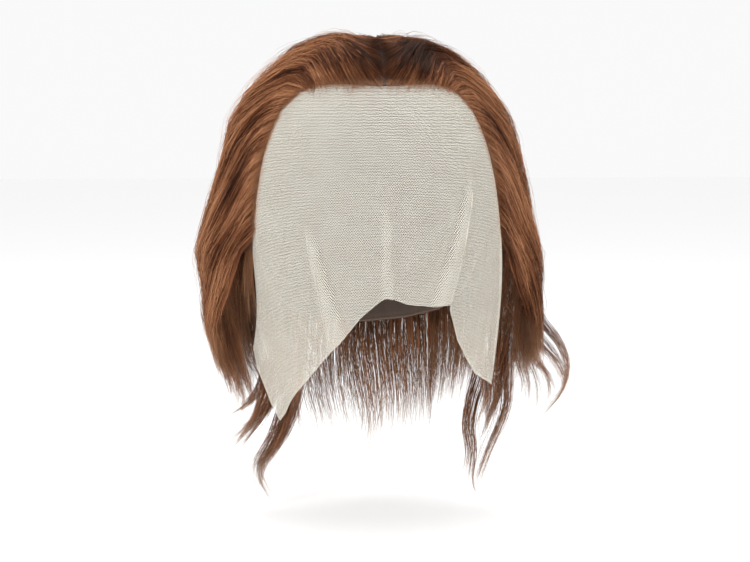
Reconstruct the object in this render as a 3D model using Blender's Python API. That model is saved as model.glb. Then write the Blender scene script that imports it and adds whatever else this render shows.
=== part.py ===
"""Lace front wig: a hollow cap, a pleated lace panel and five masses of hair.

Sizes are in millimetres and are turned into metres where a mesh is made.
The wearer faces -Y, +X is on the right of someone who looks at the face, and the origin
is the inside of the cap at the crown. Every surface is laid out on one head form and is
named by three numbers: angle round the head (0 at the face, +90 at +X), polar (0 at the
crown, 90 at the widest level, more down the neck) and standoff from the head.
"""

import math
from collections import namedtuple

import bmesh
import bpy
import numpy as np

MM = 0.001

# Head form, measured down from the crown
DOME_HEIGHT = 110.0
DOME_POWER = 2.3
DOME_HALF_WIDTH = 79.5
DOME_FRONT = 96.0
DOME_BACK = 100.0
NECK_DROP = 280.0
NECK_HALF_WIDTH = 58.0
NECK_FRONT = 62.0
NECK_BACK = 57.0
DROP_PER_DEGREE = 1.6

# Walls and gaps
CAP_WALL = 1.2
LACE_WALL = 1.0
LACE_STANDOFF = 0.2
PIECE_GAP = 0.35
HAIR_STANDOFF = CAP_WALL + 1.3 + PIECE_GAP
HAIR_ROOT_DEPTH = 1.6
HAIR_TIP_DEPTH = 2.2

# Cap edge in front, from the left ear tab over the forehead to the right ear tab
EdgeRow = namedtuple("EdgeRow", "angle drop")
HAIRLINE = (
    EdgeRow(-82.0, 130.0),
    EdgeRow(-78.0, 115.0),
    EdgeRow(-74.5, 100.0),
    EdgeRow(-72.0, 84.0),
    EdgeRow(-70.5, 66.0),
    EdgeRow(-69.0, 50.0),
    EdgeRow(-66.5, 37.0),
    EdgeRow(-59.0, 29.0),
    EdgeRow(-48.0, 25.0),
    EdgeRow(-34.0, 24.0),
    EdgeRow(-18.0, 24.5),
    EdgeRow(-1.0, 25.5),
    EdgeRow(14.0, 24.5),
    EdgeRow(29.0, 24.0),
    EdgeRow(42.0, 25.0),
    EdgeRow(52.0, 30.0),
    EdgeRow(58.0, 38.0),
    EdgeRow(61.0, 50.0),
    EdgeRow(62.5, 66.0),
    EdgeRow(64.0, 84.0),
    EdgeRow(66.5, 100.0),
    EdgeRow(70.0, 115.0),
    EdgeRow(75.0, 130.0),
)

# Cap edge behind the ears, from the right ear tab round the nape to the left one
NAPE_EDGE = (
    EdgeRow(84.0, 132.0),
    EdgeRow(93.0, 118.0),
    EdgeRow(103.0, 116.0),
    EdgeRow(112.0, 134.0),
    EdgeRow(122.0, 158.0),
    EdgeRow(138.0, 174.0),
    EdgeRow(158.0, 181.0),
    EdgeRow(180.0, 184.0),
    EdgeRow(202.0, 181.0),
    EdgeRow(222.0, 174.0),
    EdgeRow(238.0, 158.0),
    EdgeRow(248.0, 134.0),
    EdgeRow(257.0, 116.0),
    EdgeRow(267.0, 118.0),
)
CAP_ROWS = 11

# Hem of the lace, met one for one by the hairline rows; lift is how far it stands off
HemRow = namedtuple("HemRow", "angle drop lift")
LACE_HEM = (
    HemRow(-94.0, 190.0, 8.0),
    HemRow(-94.0, 202.0, 8.0),
    HemRow(-90.0, 215.0, 5.5),
    HemRow(-85.0, 226.0, 3.5),
    HemRow(-77.0, 236.0, 1.0),
    HemRow(-67.0, 229.0, 0.4),
    HemRow(-57.0, 218.0, 0.2),
    HemRow(-43.0, 204.5, 0.0),
    HemRow(-32.0, 191.0, 0.0),
    HemRow(-22.0, 179.0, 0.0),
    HemRow(-12.0, 163.0, 0.0),
    HemRow(-1.0, 150.5, 0.0),
    HemRow(9.0, 155.5, 0.0),
    HemRow(19.0, 157.0, 0.0),
    HemRow(29.0, 156.0, 0.0),
    HemRow(38.0, 180.0, 0.4),
    HemRow(46.0, 191.5, 0.8),
    HemRow(57.0, 203.0, 2.0),
    HemRow(68.0, 208.0, 4.0),
    HemRow(77.0, 211.0, 6.5),
    HemRow(84.0, 214.0, 9.0),
    HemRow(87.0, 206.0, 9.0),
    HemRow(87.0, 197.0, 7.0),
)
LACE_COLUMNS = 54
LACE_ROWS = 13
MM_PER_DEGREE = 1.4

# Pleats pinched in the lace: a centre line from top to foot, its width and its height
Pleat = namedtuple("Pleat", "top_angle top_drop foot_angle foot_drop width height")
PLEATS = (
    Pleat(-36.0, 106.0, -23.0, 184.0, 17.0, 3.0),
    Pleat(-1.5, 92.0, 0.0, 154.0, 7.5, 2.4),
    Pleat(41.0, 76.0, 24.5, 160.0, 19.0, 3.0),
)

# Depth of the hair over the head at each level, on each side of the head
DepthRow = namedtuple("DepthRow", "polar left right back hollow")
HAIR_DEPTH = (
    DepthRow(0.0, 9.5, 8.0, 9.5, 0.0),
    DepthRow(25.0, 11.5, 8.5, 12.0, 0.0),
    DepthRow(45.0, 16.0, 10.5, 15.0, 0.0),
    DepthRow(62.0, 20.0, 13.5, 18.0, 0.0),
    DepthRow(78.0, 19.5, 15.0, 20.0, 0.0),
    DepthRow(90.0, 26.0, 19.0, 21.0, 0.0),
    DepthRow(102.0, 33.5, 26.0, 22.0, 0.5),
    DepthRow(115.0, 32.0, 29.0, 24.0, 3.0),
    DepthRow(130.0, 35.0, 33.0, 27.0, 8.0),
    DepthRow(145.0, 32.0, 38.0, 28.0, 10.0),
    DepthRow(160.0, 28.0, 38.0, 27.0, 10.0),
    DepthRow(185.0, 27.0, 38.0, 26.0, 13.0),
)
ROOT_RISE = 26.0
LOCK_RELIEF = 2.6
LOCK_COLUMNS = 3
END_STEP = 12.0

# How the hair lies: each row is one flow line from its root to its end
FlowRow = namedtuple(
    "FlowRow",
    "root_angle root_polar lift_angle lift_polar fall_angle fall_polar hang_angle hang_polar end_angle end_polar",
)
TEMPLE_LEFT = (
    FlowRow(-78.5, 93.0, -84.0, 103.0, -88.0, 116.0, -92.0, 131.0, -95.0, 147.0),
    FlowRow(-74.5, 80.0, -83.0, 91.0, -89.0, 109.0, -95.0, 130.0, -99.0, 150.0),
    FlowRow(-71.0, 64.0, -81.5, 76.0, -91.0, 101.0, -98.5, 127.0, -103.0, 152.0),
    FlowRow(-68.0, 53.0, -80.0, 63.0, -93.0, 92.0, -102.0, 123.0, -107.0, 153.0),
)
TOP_LEFT = (
    FlowRow(-68.0, 53.0, -80.0, 63.0, -93.0, 92.0, -102.0, 123.0, -107.0, 153.0),
    FlowRow(-58.0, 45.0, -73.0, 50.5, -95.0, 83.0, -106.0, 121.0, -110.0, 154.0),
    FlowRow(-38.0, 41.3, -61.0, 37.0, -98.0, 71.0, -110.0, 118.0, -114.0, 155.0),
    FlowRow(-18.0, 41.3, -52.0, 27.0, -102.0, 64.0, -115.0, 116.0, -118.0, 156.0),
    FlowRow(-0.4, 41.3, -44.0, 22.5, -106.0, 57.0, -120.0, 114.0, -123.0, 157.0),
    FlowRow(-0.8, 22.0, -60.0, 19.0, -113.0, 54.0, -126.0, 114.0, -128.0, 158.0),
    FlowRow(-2.0, 5.0, -72.0, 15.5, -123.0, 53.0, -131.0, 115.0, -132.0, 159.0),
    FlowRow(-136.0, 2.2, -136.0, 36.0, -137.0, 78.0, -138.0, 120.0, -138.0, 160.0),
)
BACK = (
    FlowRow(-136.0, 2.2, -136.0, 36.0, -137.0, 78.0, -138.0, 120.0, -138.0, 160.0),
    FlowRow(-152.0, 2.2, -152.0, 40.0, -152.0, 82.0, -152.0, 128.0, -151.0, 176.0),
    FlowRow(-180.0, 2.2, -180.0, 40.0, -180.0, 83.0, -180.0, 130.0, -180.0, 182.0),
    FlowRow(-208.0, 2.2, -208.0, 40.0, -208.0, 82.0, -208.0, 128.0, -209.0, 176.0),
    FlowRow(-224.0, 2.2, -224.0, 36.0, -223.0, 78.0, -222.0, 120.0, -222.0, 160.0),
)
RIGHT_ANGLE_SHARE = 0.915
RIGHT_END_LIFT = 4.0
TEMPLE_LOCKS = 2
TOP_LOCKS = 9
BACK_LOCKS = 9
HAIR_ROWS = 15
SIDE_SEAM = 0.3
SEAM_AT_ENDS = 1.2

# Loose locks that leave a mass near its end; bulge bows the middle of one outwards
FlickRow = namedtuple(
    "FlickRow", "angle polar standoff tip_angle tip_polar tip_standoff bulge radius"
)
LEFT_FLICKS = (
    FlickRow(-124.0, 146.0, 21.0, -117.0, 181.0, 42.0, 0.0, 6.0),
    FlickRow(-115.0, 142.0, 23.0, -108.0, 168.0, 29.0, 0.0, 5.0),
)
RIGHT_FLICKS = (
    FlickRow(113.0, 131.0, 28.0, 104.0, 163.0, 48.0, 20.0, 5.0),
    FlickRow(118.0, 142.0, 24.0, 120.0, 187.0, 20.0, 7.0, 4.5),
    FlickRow(125.0, 144.0, 22.0, 121.0, 177.0, 24.0, 0.0, 6.5),
    FlickRow(130.0, 146.0, 22.0, 126.0, 197.0, 21.0, 0.0, 6.0),
)
BACK_FLICKS = (
    FlickRow(-144.0, 150.0, 21.0, -124.0, 202.0, 24.0, 12.0, 6.5),
    FlickRow(-166.0, 164.0, 20.0, -163.0, 192.0, 20.0, 0.0, 5.5),
    FlickRow(-194.0, 164.0, 20.0, -198.0, 193.0, 21.0, 0.0, 5.5),
)
FLICK_SIDES = 7
FLICK_RINGS = 7

HAIR_COLOUR = (0.171, 0.058, 0.026)
CAP_COLOUR = (0.090, 0.055, 0.038)
LACE_COLOUR = (0.680, 0.590, 0.480)


def head_radii(drop):
    """Half width, front depth and back depth of the head at a drop below the crown."""
    if drop < DOME_HEIGHT:
        across = 1.0 - abs(1.0 - drop / DOME_HEIGHT) ** DOME_POWER
        share = max(0.0, across) ** (1.0 / DOME_POWER)
        return DOME_HALF_WIDTH * share, DOME_FRONT * share, DOME_BACK * share
    down = min(1.0, (drop - DOME_HEIGHT) / (NECK_DROP - DOME_HEIGHT))
    ease = down * down * (3.0 - 2.0 * down)
    half_width = DOME_HALF_WIDTH + (NECK_HALF_WIDTH - DOME_HALF_WIDTH) * ease
    front = DOME_FRONT + (NECK_FRONT - DOME_FRONT) * ease
    back = DOME_BACK + (NECK_BACK - DOME_BACK) * ease
    return half_width, front, back


def drop_of(polar):
    """Drop below the crown for a polar coordinate."""
    if polar < 90.0:
        lean = max(0.0, math.cos(math.radians(polar)))
        return DOME_HEIGHT * (1.0 - lean ** (2.0 / DOME_POWER))
    return DOME_HEIGHT + (polar - 90.0) * DROP_PER_DEGREE


def polar_of(drop):
    """Polar coordinate for a drop below the crown."""
    if drop < DOME_HEIGHT:
        lean = (1.0 - drop / DOME_HEIGHT) ** (DOME_POWER / 2.0)
        return math.degrees(math.acos(lean))
    return 90.0 + (drop - DOME_HEIGHT) / DROP_PER_DEGREE


def on_head(angle, polar):
    """A point on the head form itself."""
    drop = drop_of(polar)
    half_width, front, back = head_radii(drop)
    turn = math.radians(angle)
    depth = front if math.cos(turn) > 0.0 else back
    return np.array([half_width * math.sin(turn), -depth * math.cos(turn), -drop])


def off_head(angle, polar, standoff):
    """A point that stands off the head form along its surface normal."""
    point = on_head(angle, polar)
    if polar < 0.75:
        return point + np.array([0.0, 0.0, standoff])
    across = on_head(angle + 1.0, polar) - on_head(angle - 1.0, polar)
    down = on_head(angle, polar + 0.75) - on_head(angle, polar - 0.75)
    normal = np.cross(down, across)
    return point + normal * (standoff / np.linalg.norm(normal))


def smooth(value):
    """Ease from 0 to 1, held at both ends."""
    held = min(1.0, max(0.0, value))
    return held * held * (3.0 - 2.0 * held)


def along_table(rows, place, column):
    """One column of a table read at a place from 0 to 1 along its rows."""
    values = [getattr(row, column) for row in rows]
    return float(np.interp(place * (len(rows) - 1), range(len(rows)), values))


def hair_depth(angle, polar):
    """Depth of the hair over the head and the hollow below it, at one place."""
    polars = [row.polar for row in HAIR_DEPTH]
    turn = math.radians(angle)
    side = "right" if math.sin(turn) > 0.0 else "left"
    behind = smooth((-math.cos(turn) - 0.15) / 0.6)
    beside = float(np.interp(polar, polars, [getattr(row, side) for row in HAIR_DEPTH]))
    other = "left" if side == "right" else "right"
    opposite = float(np.interp(polar, polars, [getattr(row, other) for row in HAIR_DEPTH]))
    centre = 0.5 * (1.0 - smooth(abs(math.sin(turn)) * max(0.2, math.sin(math.radians(min(polar, 90.0)))) * 4.0))
    beside += (opposite - beside) * centre
    back = float(np.interp(polar, polars, [row.back for row in HAIR_DEPTH]))
    hollow = float(np.interp(polar, polars, [row.hollow for row in HAIR_DEPTH]))
    return beside + (back - beside) * behind, hollow


def flow_point(rows, across, along):
    """Angle and polar on a mass of hair: across its flow lines and along them."""
    stations = ("root", "lift", "fall", "hang", "end")
    angles = [along_table(rows, across, name + "_angle") for name in stations]
    polars = [along_table(rows, across, name + "_polar") for name in stations]
    return spline(angles, along), spline(polars, along)


def spline(values, along):
    """A curve through evenly spaced values, read from 0 to 1."""
    spans = len(values) - 1
    place = min(max(along, 0.0), 1.0) * spans
    first = min(int(place), spans - 1)
    part = place - first
    before = values[max(first - 1, 0)]
    start, stop = values[first], values[first + 1]
    after = values[min(first + 2, spans)]
    bend = 2.0 * before - 5.0 * start + 4.0 * stop - after
    twist = 3.0 * (start - stop) + after - before
    return start + 0.5 * part * (stop - before + part * (bend + part * twist))


def mesh_object(name, bm, material):
    """Link a finished bmesh as an object in metres with one material."""
    bmesh.ops.recalc_face_normals(bm, faces=bm.faces)
    if bm.calc_volume(signed=True) < 0.0:
        bmesh.ops.reverse_faces(bm, faces=bm.faces)
    bmesh.ops.scale(bm, vec=(MM, MM, MM), verts=bm.verts)
    mesh = bpy.data.meshes.new(name)
    bm.to_mesh(mesh)
    bm.free()
    mesh.materials.append(material)
    obj = bpy.data.objects.new(name, mesh)
    bpy.context.scene.collection.objects.link(obj)
    return obj


def plain_material(name, colour, roughness):
    """A plain opaque finish."""
    material = bpy.data.materials.new(name)
    material.use_nodes = True
    shader = material.node_tree.nodes["Principled BSDF"]
    shader.inputs["Base Color"].default_value = (*colour, 1.0)
    shader.inputs["Roughness"].default_value = roughness
    shader.inputs["Metallic"].default_value = 0.0
    return material


def add_grid(bm, points):
    """A grid of quads through rows of points."""
    rows = [[bm.verts.new(point) for point in row] for row in points]
    for upper, lower in zip(rows, rows[1:]):
        for column in range(len(upper) - 1):
            corners = (upper[column], upper[column + 1], lower[column + 1], lower[column])
            bm.faces.new(corners)
    return rows


def close_rim(bm, outer, inner):
    """Join the rims of two matching grids."""
    def rim(rows):
        top = list(rows[0])
        right = [row[-1] for row in rows[1:-1]]
        bottom = list(reversed(rows[-1]))
        left = [row[0] for row in reversed(rows[1:-1])]
        return top + right + bottom + left

    outside, inside = rim(outer), rim(inner)
    for here in range(len(outside)):
        following = (here + 1) % len(outside)
        corners = (outside[here], outside[following], inside[following], inside[here])
        bm.faces.new(corners)


def cap_ring():
    """The closed edge of the cap as angle and drop."""
    return list(HAIRLINE) + list(NAPE_EDGE)


def make_cap(material):
    """The wig cap: a closed crown shell of even thickness."""
    bm = bmesh.new()
    ring = cap_ring()
    skins = []
    for standoff in (CAP_WALL, 0.0):
        pole = bm.verts.new((0.0, 0.0, standoff))
        rows = []
        for row in range(1, CAP_ROWS + 1):
            share = row / CAP_ROWS
            places = [(edge.angle, polar_of(edge.drop) * share) for edge in ring]
            rows.append([bm.verts.new(off_head(a, p, standoff)) for a, p in places])
        for here in range(len(ring)):
            following = (here + 1) % len(ring)
            bm.faces.new((pole, rows[0][here], rows[0][following]))
            for upper, lower in zip(rows, rows[1:]):
                corners = (upper[here], upper[following], lower[following], lower[here])
                bm.faces.new(corners)
        skins.append(rows)
    outside, inside = skins[0][-1], skins[1][-1]
    for here in range(len(ring)):
        following = (here + 1) % len(ring)
        corners = (outside[here], outside[following], inside[following], inside[here])
        bm.faces.new(corners)
    return mesh_object("wig_cap", bm, material)


def pleat_height(angle, drop):
    """How far the pleats raise the lace at one place."""
    raised = 0.0
    for pleat in PLEATS:
        share = (drop - pleat.top_drop) / (pleat.foot_drop - pleat.top_drop)
        if share <= 0.0:
            continue
        centre = pleat.top_angle + (pleat.foot_angle - pleat.top_angle) * min(share, 1.0)
        half_width, front, _ = head_radii(drop)
        offset = abs(angle - centre) * math.radians(1.0) * 0.5 * (half_width + front)
        half = 0.5 * pleat.width * (0.35 + 0.65 * min(share, 1.0))
        side = 1.0 - smooth((offset - half * 0.55) / (half * 0.45))
        raised = max(raised, pleat.height * side * smooth(share * 4.0))
    return raised


def below_hairline(across):
    """Angle and drop of the lace's upper edge, one gap clear of the cap's edge."""
    step = 0.004
    angle = along_table(HAIRLINE, across, "angle")
    drop = along_table(HAIRLINE, across, "drop")
    later, sooner = min(1.0, across + step), max(0.0, across - step)
    round_mm = along_table(HAIRLINE, later, "angle") - along_table(HAIRLINE, sooner, "angle")
    round_mm *= MM_PER_DEGREE
    down_mm = along_table(HAIRLINE, later, "drop") - along_table(HAIRLINE, sooner, "drop")
    length = math.hypot(round_mm, down_mm)
    gap = 1.7 * PIECE_GAP
    return angle - gap * down_mm / length / MM_PER_DEGREE, drop + gap * round_mm / length


def make_lace(material):
    """The lace front: a thin sheet from the hairline to its lobed hem, with pleats."""
    bm = bmesh.new()
    places = []
    for row in range(LACE_ROWS):
        down = row / (LACE_ROWS - 1)
        line = []
        for column in range(LACE_COLUMNS):
            across = column / (LACE_COLUMNS - 1)
            top_angle, top_drop = below_hairline(across)
            hem_angle = along_table(LACE_HEM, across, "angle")
            hem_drop = along_table(LACE_HEM, across, "drop")
            edge = smooth(1.0 - across / 0.2)
            swing = down ** (1.0 + 2.0 * edge)
            lift = along_table(LACE_HEM, across, "lift") * swing
            angle = top_angle + (hem_angle - top_angle) * swing
            drop = top_drop + (hem_drop - top_drop) * down
            line.append((angle, drop, lift + pleat_height(angle, drop)))
        places.append(line)
    skins = []
    for standoff in (LACE_STANDOFF + LACE_WALL, LACE_STANDOFF):
        points = [[off_head(a, polar_of(d), standoff + rise) for a, d, rise in line] for line in places]
        skins.append(add_grid(bm, points))
    close_rim(bm, skins[0], skins[1])
    return mesh_object("lace_front", bm, material)


def lock_wave(across, locks):
    """Height of the locks across a mass: 0 between two locks, 1 on the middle of one."""
    return abs(math.sin(math.pi * across * locks))


def hair_skins(flow, locks, mirror):
    """Outer and inner points of a mass of hair, row by row from root to end."""
    outer, inner = [], []
    columns = locks * LOCK_COLUMNS
    for row in range(HAIR_ROWS + 1):
        share = row / HAIR_ROWS
        outside, inside = [], []
        for column in range(columns + 1):
            across = column / columns
            ridge = lock_wave(across, locks)
            uneven = 0.7 + 0.3 * math.cos(math.tau * across * 3.0)
            shorten = END_STEP * uneven * (1.0 - ridge) * share ** 3
            angle, polar = flow_point(flow, across, share)
            polar -= shorten / DROP_PER_DEGREE * 1.2
            root_angle, root_polar = flow_point(flow, across, 0.0)
            if mirror:
                polar -= RIGHT_END_LIFT * share ** 3
                angle = -angle * mirror_share(angle)
                root_angle = -root_angle * mirror_share(root_angle)
            gone = np.linalg.norm(on_head(angle, polar) - on_head(root_angle, root_polar))
            depth, hollow = hair_depth(angle, polar)
            depth += LOCK_RELIEF * (ridge - 0.5) * smooth(gone / 60.0)
            low = HAIR_STANDOFF + hollow
            grown = smooth(0.12 + gone / ROOT_RISE)
            high = low + HAIR_ROOT_DEPTH + (depth - low - HAIR_ROOT_DEPTH) * grown
            thin = smooth((share - 0.72) / 0.28)
            low += (high - HAIR_TIP_DEPTH - low) * thin * 0.9
            outside.append(off_head(angle, polar, high))
            inside.append(off_head(angle, polar, low))
        outer.append(outside)
        inner.append(inside)
    return outer, inner


def mirror_share(angle):
    """The right hairline sits a little nearer the face than the left one."""
    behind = smooth((abs(angle) - 80.0) / 50.0)
    return RIGHT_ANGLE_SHARE + (1.0 - RIGHT_ANGLE_SHARE) * behind


def open_seam(outer, inner):
    """Move the side edges of a mass in by a seam that widens towards the hair's ends."""
    last = len(outer) - 1
    for edge, neighbour in ((0, 1), (-1, -2)):
        line = [row[edge] for row in outer]
        squares = []
        for row, (high, low) in enumerate(zip(outer, inner)):
            along = line[min(row + 1, last)] - line[max(row - 1, 0)]
            square = np.cross(along, high[edge] - low[edge])
            squares.append(square / np.linalg.norm(square))
        inward = sum(np.dot(s, row[neighbour] - row[edge]) for s, row in zip(squares, outer))
        for row, (square, high, low) in enumerate(zip(squares, outer, inner)):
            seam = SIDE_SEAM + (SEAM_AT_ENDS - SIDE_SEAM) * row / last
            shift = square * math.copysign(seam, inward)
            high[edge] = high[edge] + shift
            low[edge] = low[edge] + shift


def flick_object(name, row, material):
    """One tapered lock that bends out to its tip, as a helper for a union."""
    bm = bmesh.new()
    rings = []
    for ring in range(FLICK_RINGS):
        share = ring / (FLICK_RINGS - 1)
        angle = row.angle + (row.tip_angle - row.angle) * share ** 1.4
        polar = row.polar + (row.tip_polar - row.polar) * share
        standoff = row.standoff + (row.tip_standoff - row.standoff) * share ** 1.6
        standoff += row.bulge * math.sin(math.pi * share)
        centre = off_head(angle, polar, standoff)
        across = off_head(angle + 1.0, polar, standoff) - off_head(angle - 1.0, polar, standoff)
        across /= np.linalg.norm(across)
        out = off_head(angle, polar, standoff + 1.0) - centre
        width = row.radius * (1.0 - 0.8 * share ** 1.5)
        turns = [math.tau * side / FLICK_SIDES for side in range(FLICK_SIDES)]
        points = [
            centre + across * (1.35 * width * math.cos(turn)) + out * (0.75 * width * math.sin(turn))
            for turn in turns
        ]
        rings.append([bm.verts.new(point) for point in points])
    for upper, lower in zip(rings, rings[1:]):
        for side in range(FLICK_SIDES):
            following = (side + 1) % FLICK_SIDES
            bm.faces.new((upper[side], upper[following], lower[following], lower[side]))
    bm.faces.new(rings[0])
    bm.faces.new(rings[-1])
    obj = mesh_object(name, bm, material)
    obj.hide_render = True
    obj.display_type = "WIRE"
    return obj


def make_hair(name, flow, locks, flicks, mirror, material):
    """One mass of hair: a ridged shell with pointed locks, and its loose locks fused in."""
    bm = bmesh.new()
    outer, inner = hair_skins(flow, locks, mirror)
    open_seam(outer, inner)
    close_rim(bm, add_grid(bm, outer), add_grid(bm, inner))
    hair = mesh_object(name, bm, material)
    for number, row in enumerate(flicks, start=1):
        lock = flick_object(f"{name}_lock_{number}", row, material)
        union = hair.modifiers.new(f"lock_{number}", "BOOLEAN")
        union.operation = "UNION"
        union.solver = "EXACT"
        union.object = lock
    return hair


def clear_scene():
    """Remove what the scene starts with."""
    for obj in list(bpy.data.objects):
        bpy.data.objects.remove(obj, do_unlink=True)


def main():
    """Build every piece of the wig."""
    clear_scene()
    cap_finish = plain_material("cap_net", CAP_COLOUR, 0.8)
    lace_finish = plain_material("sheer_lace", LACE_COLOUR, 0.7)
    hair_finish = plain_material("auburn_hair", HAIR_COLOUR, 0.45)
    make_cap(cap_finish)
    make_lace(lace_finish)
    make_hair("hair_temple_left", TEMPLE_LEFT, TEMPLE_LOCKS, (), False, hair_finish)
    make_hair("hair_temple_right", TEMPLE_LEFT, TEMPLE_LOCKS, (), True, hair_finish)
    make_hair("hair_top_left", TOP_LEFT, TOP_LOCKS, LEFT_FLICKS, False, hair_finish)
    make_hair("hair_top_right", TOP_LEFT, TOP_LOCKS, RIGHT_FLICKS, True, hair_finish)
    make_hair("hair_back", BACK, BACK_LOCKS, BACK_FLICKS, False, hair_finish)


main()
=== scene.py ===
"""Lace front wig: hair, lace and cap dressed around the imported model.

Sizes are in millimetres and are turned into metres where a mesh is made. The wearer
faces -Y, +X is on the right of someone who looks at the face, and the origin is the
inside of the cap at the crown. Places are given on one head form by three numbers: angle
round the head (0 at the face, +90 at +X), polar (0 at the crown, 90 at the widest level,
more down the neck) and standoff from the head.
"""

import logging
import math
from dataclasses import dataclass
from enum import Enum
from typing import NamedTuple, Sequence

import bmesh
import bpy
import numpy as np
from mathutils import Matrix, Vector


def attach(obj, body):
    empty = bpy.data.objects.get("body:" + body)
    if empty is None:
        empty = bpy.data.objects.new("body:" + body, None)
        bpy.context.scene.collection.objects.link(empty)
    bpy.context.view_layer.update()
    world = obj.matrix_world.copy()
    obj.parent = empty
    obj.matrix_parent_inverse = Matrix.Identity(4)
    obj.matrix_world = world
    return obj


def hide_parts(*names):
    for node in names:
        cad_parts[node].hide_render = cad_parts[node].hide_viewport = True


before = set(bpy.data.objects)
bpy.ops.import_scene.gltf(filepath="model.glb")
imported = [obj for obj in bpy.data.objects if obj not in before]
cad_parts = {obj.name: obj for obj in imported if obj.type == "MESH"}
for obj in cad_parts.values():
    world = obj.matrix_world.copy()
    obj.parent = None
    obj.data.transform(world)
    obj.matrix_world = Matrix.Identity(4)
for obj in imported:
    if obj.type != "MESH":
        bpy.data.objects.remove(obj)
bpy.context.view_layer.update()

MM = 0.001
BODY = "root"
# Three values on each vertex: place along the hair, tint of the strand and tint of the lock, which also
# carries painted shade and painted light
SHADE_LAYER = "strand"
# How far the hair beside the face starts from the hairline, in millimetres
LEFT_GAP = 2.6
RIGHT_GAP = 5.0
# Length of one degree round the head near the hairline, in millimetres
MM_PER_DEGREE = 1.4
# Share of a top lobe's hair that starts at the front hairline and not at the part
TOP_FRONT = 0.58
# How far back the spots of painted light and shade reach and how softly they end, in millimetres
SPOT_REACH = 85.0
SPOT_FADE = 40.0
LOG = logging.getLogger("wig")

Array = np.ndarray
Material = bpy.types.Material
Object = bpy.types.Object
Socket = bpy.types.NodeSocket
Colour = tuple[float, float, float]
Place = tuple[float, float]
Point = tuple[float, float, float]
Labels = Sequence[tuple[str, str]]


class Slot(Enum):
    """The record's material slots."""

    HAIR = "auburn_hair"
    CAP = "cap_net"
    LACE = "sheer_lace"


def ease(value: Array) -> Array:
    """Values eased from 0 to 1 and held at both ends."""
    held = np.clip(value, 0.0, 1.0)
    return held * held * (3.0 - 2.0 * held)


def unit(vectors: Array) -> Array:
    """The same directions with length one; x, y, z are on the last axis."""
    return vectors / np.maximum(np.linalg.norm(vectors, axis=-1, keepdims=True), 1e-9)


@dataclass(frozen=True)
class HeadForm:
    """The head shape that the cap fits and every other piece is laid out on."""

    dome_height: float = 110.0
    dome_power: float = 2.3
    dome_half_width: float = 79.5
    dome_front: float = 96.0
    dome_back: float = 100.0
    neck_drop: float = 280.0
    neck_half_width: float = 58.0
    neck_front: float = 62.0
    neck_back: float = 57.0
    drop_per_degree: float = 1.6

    def drop_of(self, polar: Array) -> Array:
        """Drop below the crown.

        Args:
            polar: Polar coordinates.

        Returns:
            Drops in millimetres.
        """
        lean = np.maximum(0.0, np.cos(np.radians(np.minimum(polar, 90.0))))
        dome = self.dome_height * (1.0 - lean ** (2.0 / self.dome_power))
        return dome + np.maximum(polar - 90.0, 0.0) * self.drop_per_degree

    def polar_of(self, drop: Array) -> Array:
        """Polar coordinate.

        Args:
            drop: Drops below the crown in millimetres.

        Returns:
            Polar coordinates.
        """
        lean = np.maximum(0.0, 1.0 - np.minimum(drop, self.dome_height) / self.dome_height)
        dome = np.degrees(np.arccos(lean ** (self.dome_power / 2.0)))
        return dome + np.maximum(drop - self.dome_height, 0.0) / self.drop_per_degree

    def surface(self, angle: Array, polar: Array) -> Array:
        """Points on the head form.

        Args:
            angle: Angles round the head.
            polar: Polar coordinates.

        Returns:
            Points in millimetres, with x, y, z on the last axis.
        """
        drop = self.drop_of(polar)
        up = np.abs(1.0 - np.minimum(drop, self.dome_height) / self.dome_height)
        share = np.maximum(0.0, 1.0 - up**self.dome_power) ** (1.0 / self.dome_power)
        down = (drop - self.dome_height) / (self.neck_drop - self.dome_height)
        narrowing = ease(down)
        width = self.dome_half_width + (self.neck_half_width - self.dome_half_width) * narrowing
        front = self.dome_front + (self.neck_front - self.dome_front) * narrowing
        back = self.dome_back + (self.neck_back - self.dome_back) * narrowing
        turn = np.radians(angle)
        depth = np.where(np.cos(turn) > 0.0, front, back)
        return np.stack((width * share * np.sin(turn), -depth * share * np.cos(turn), -drop), axis=-1)

    def normal(self, angle: Array, polar: Array) -> Array:
        """Directions square to the head form.

        Args:
            angle: Angles round the head.
            polar: Polar coordinates.

        Returns:
            Outward unit vectors.
        """
        held = np.maximum(polar, 1.0)
        across = self.surface(angle + 1.0, held) - self.surface(angle - 1.0, held)
        down = self.surface(angle, held + 0.75) - self.surface(angle, held - 0.75)
        return unit(np.cross(down, across))

    def point(self, angle: Array, polar: Array, standoff: Array) -> Array:
        """Points in millimetres that stand off the head form."""
        lift = np.asarray(standoff)[..., None] if np.ndim(standoff) else standoff
        return self.surface(angle, polar) + self.normal(angle, polar) * lift


HEAD = HeadForm()


class EdgePoint(NamedTuple):
    """One point of an edge on the head: angle and drop below the crown."""

    angle: float
    drop: float


class HemPoint(NamedTuple):
    """One point of the lace hem: angle, drop and how far it stands off the head."""

    angle: float
    drop: float
    lift: float


HAIRLINE = tuple(EdgePoint(*row) for row in (
    (-82.0, 130.0), (-78.0, 115.0), (-74.5, 100.0), (-72.0, 84.0), (-70.5, 66.0), (-69.0, 50.0),
    (-66.5, 37.0), (-59.0, 29.0), (-48.0, 25.0), (-34.0, 24.0), (-18.0, 24.5), (-1.0, 25.5),
    (14.0, 24.5), (29.0, 24.0), (42.0, 25.0), (52.0, 30.0), (58.0, 38.0), (61.0, 50.0), (62.5, 66.0),
    (64.0, 84.0), (66.5, 100.0), (70.0, 115.0), (75.0, 130.0),
))
NAPE_EDGE = tuple(EdgePoint(*row) for row in (
    (84.0, 132.0), (93.0, 118.0), (103.0, 116.0), (112.0, 134.0), (122.0, 158.0), (138.0, 174.0),
    (158.0, 181.0), (180.0, 184.0), (202.0, 181.0), (222.0, 174.0), (238.0, 158.0), (248.0, 134.0),
    (257.0, 116.0), (267.0, 118.0),
))
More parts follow.
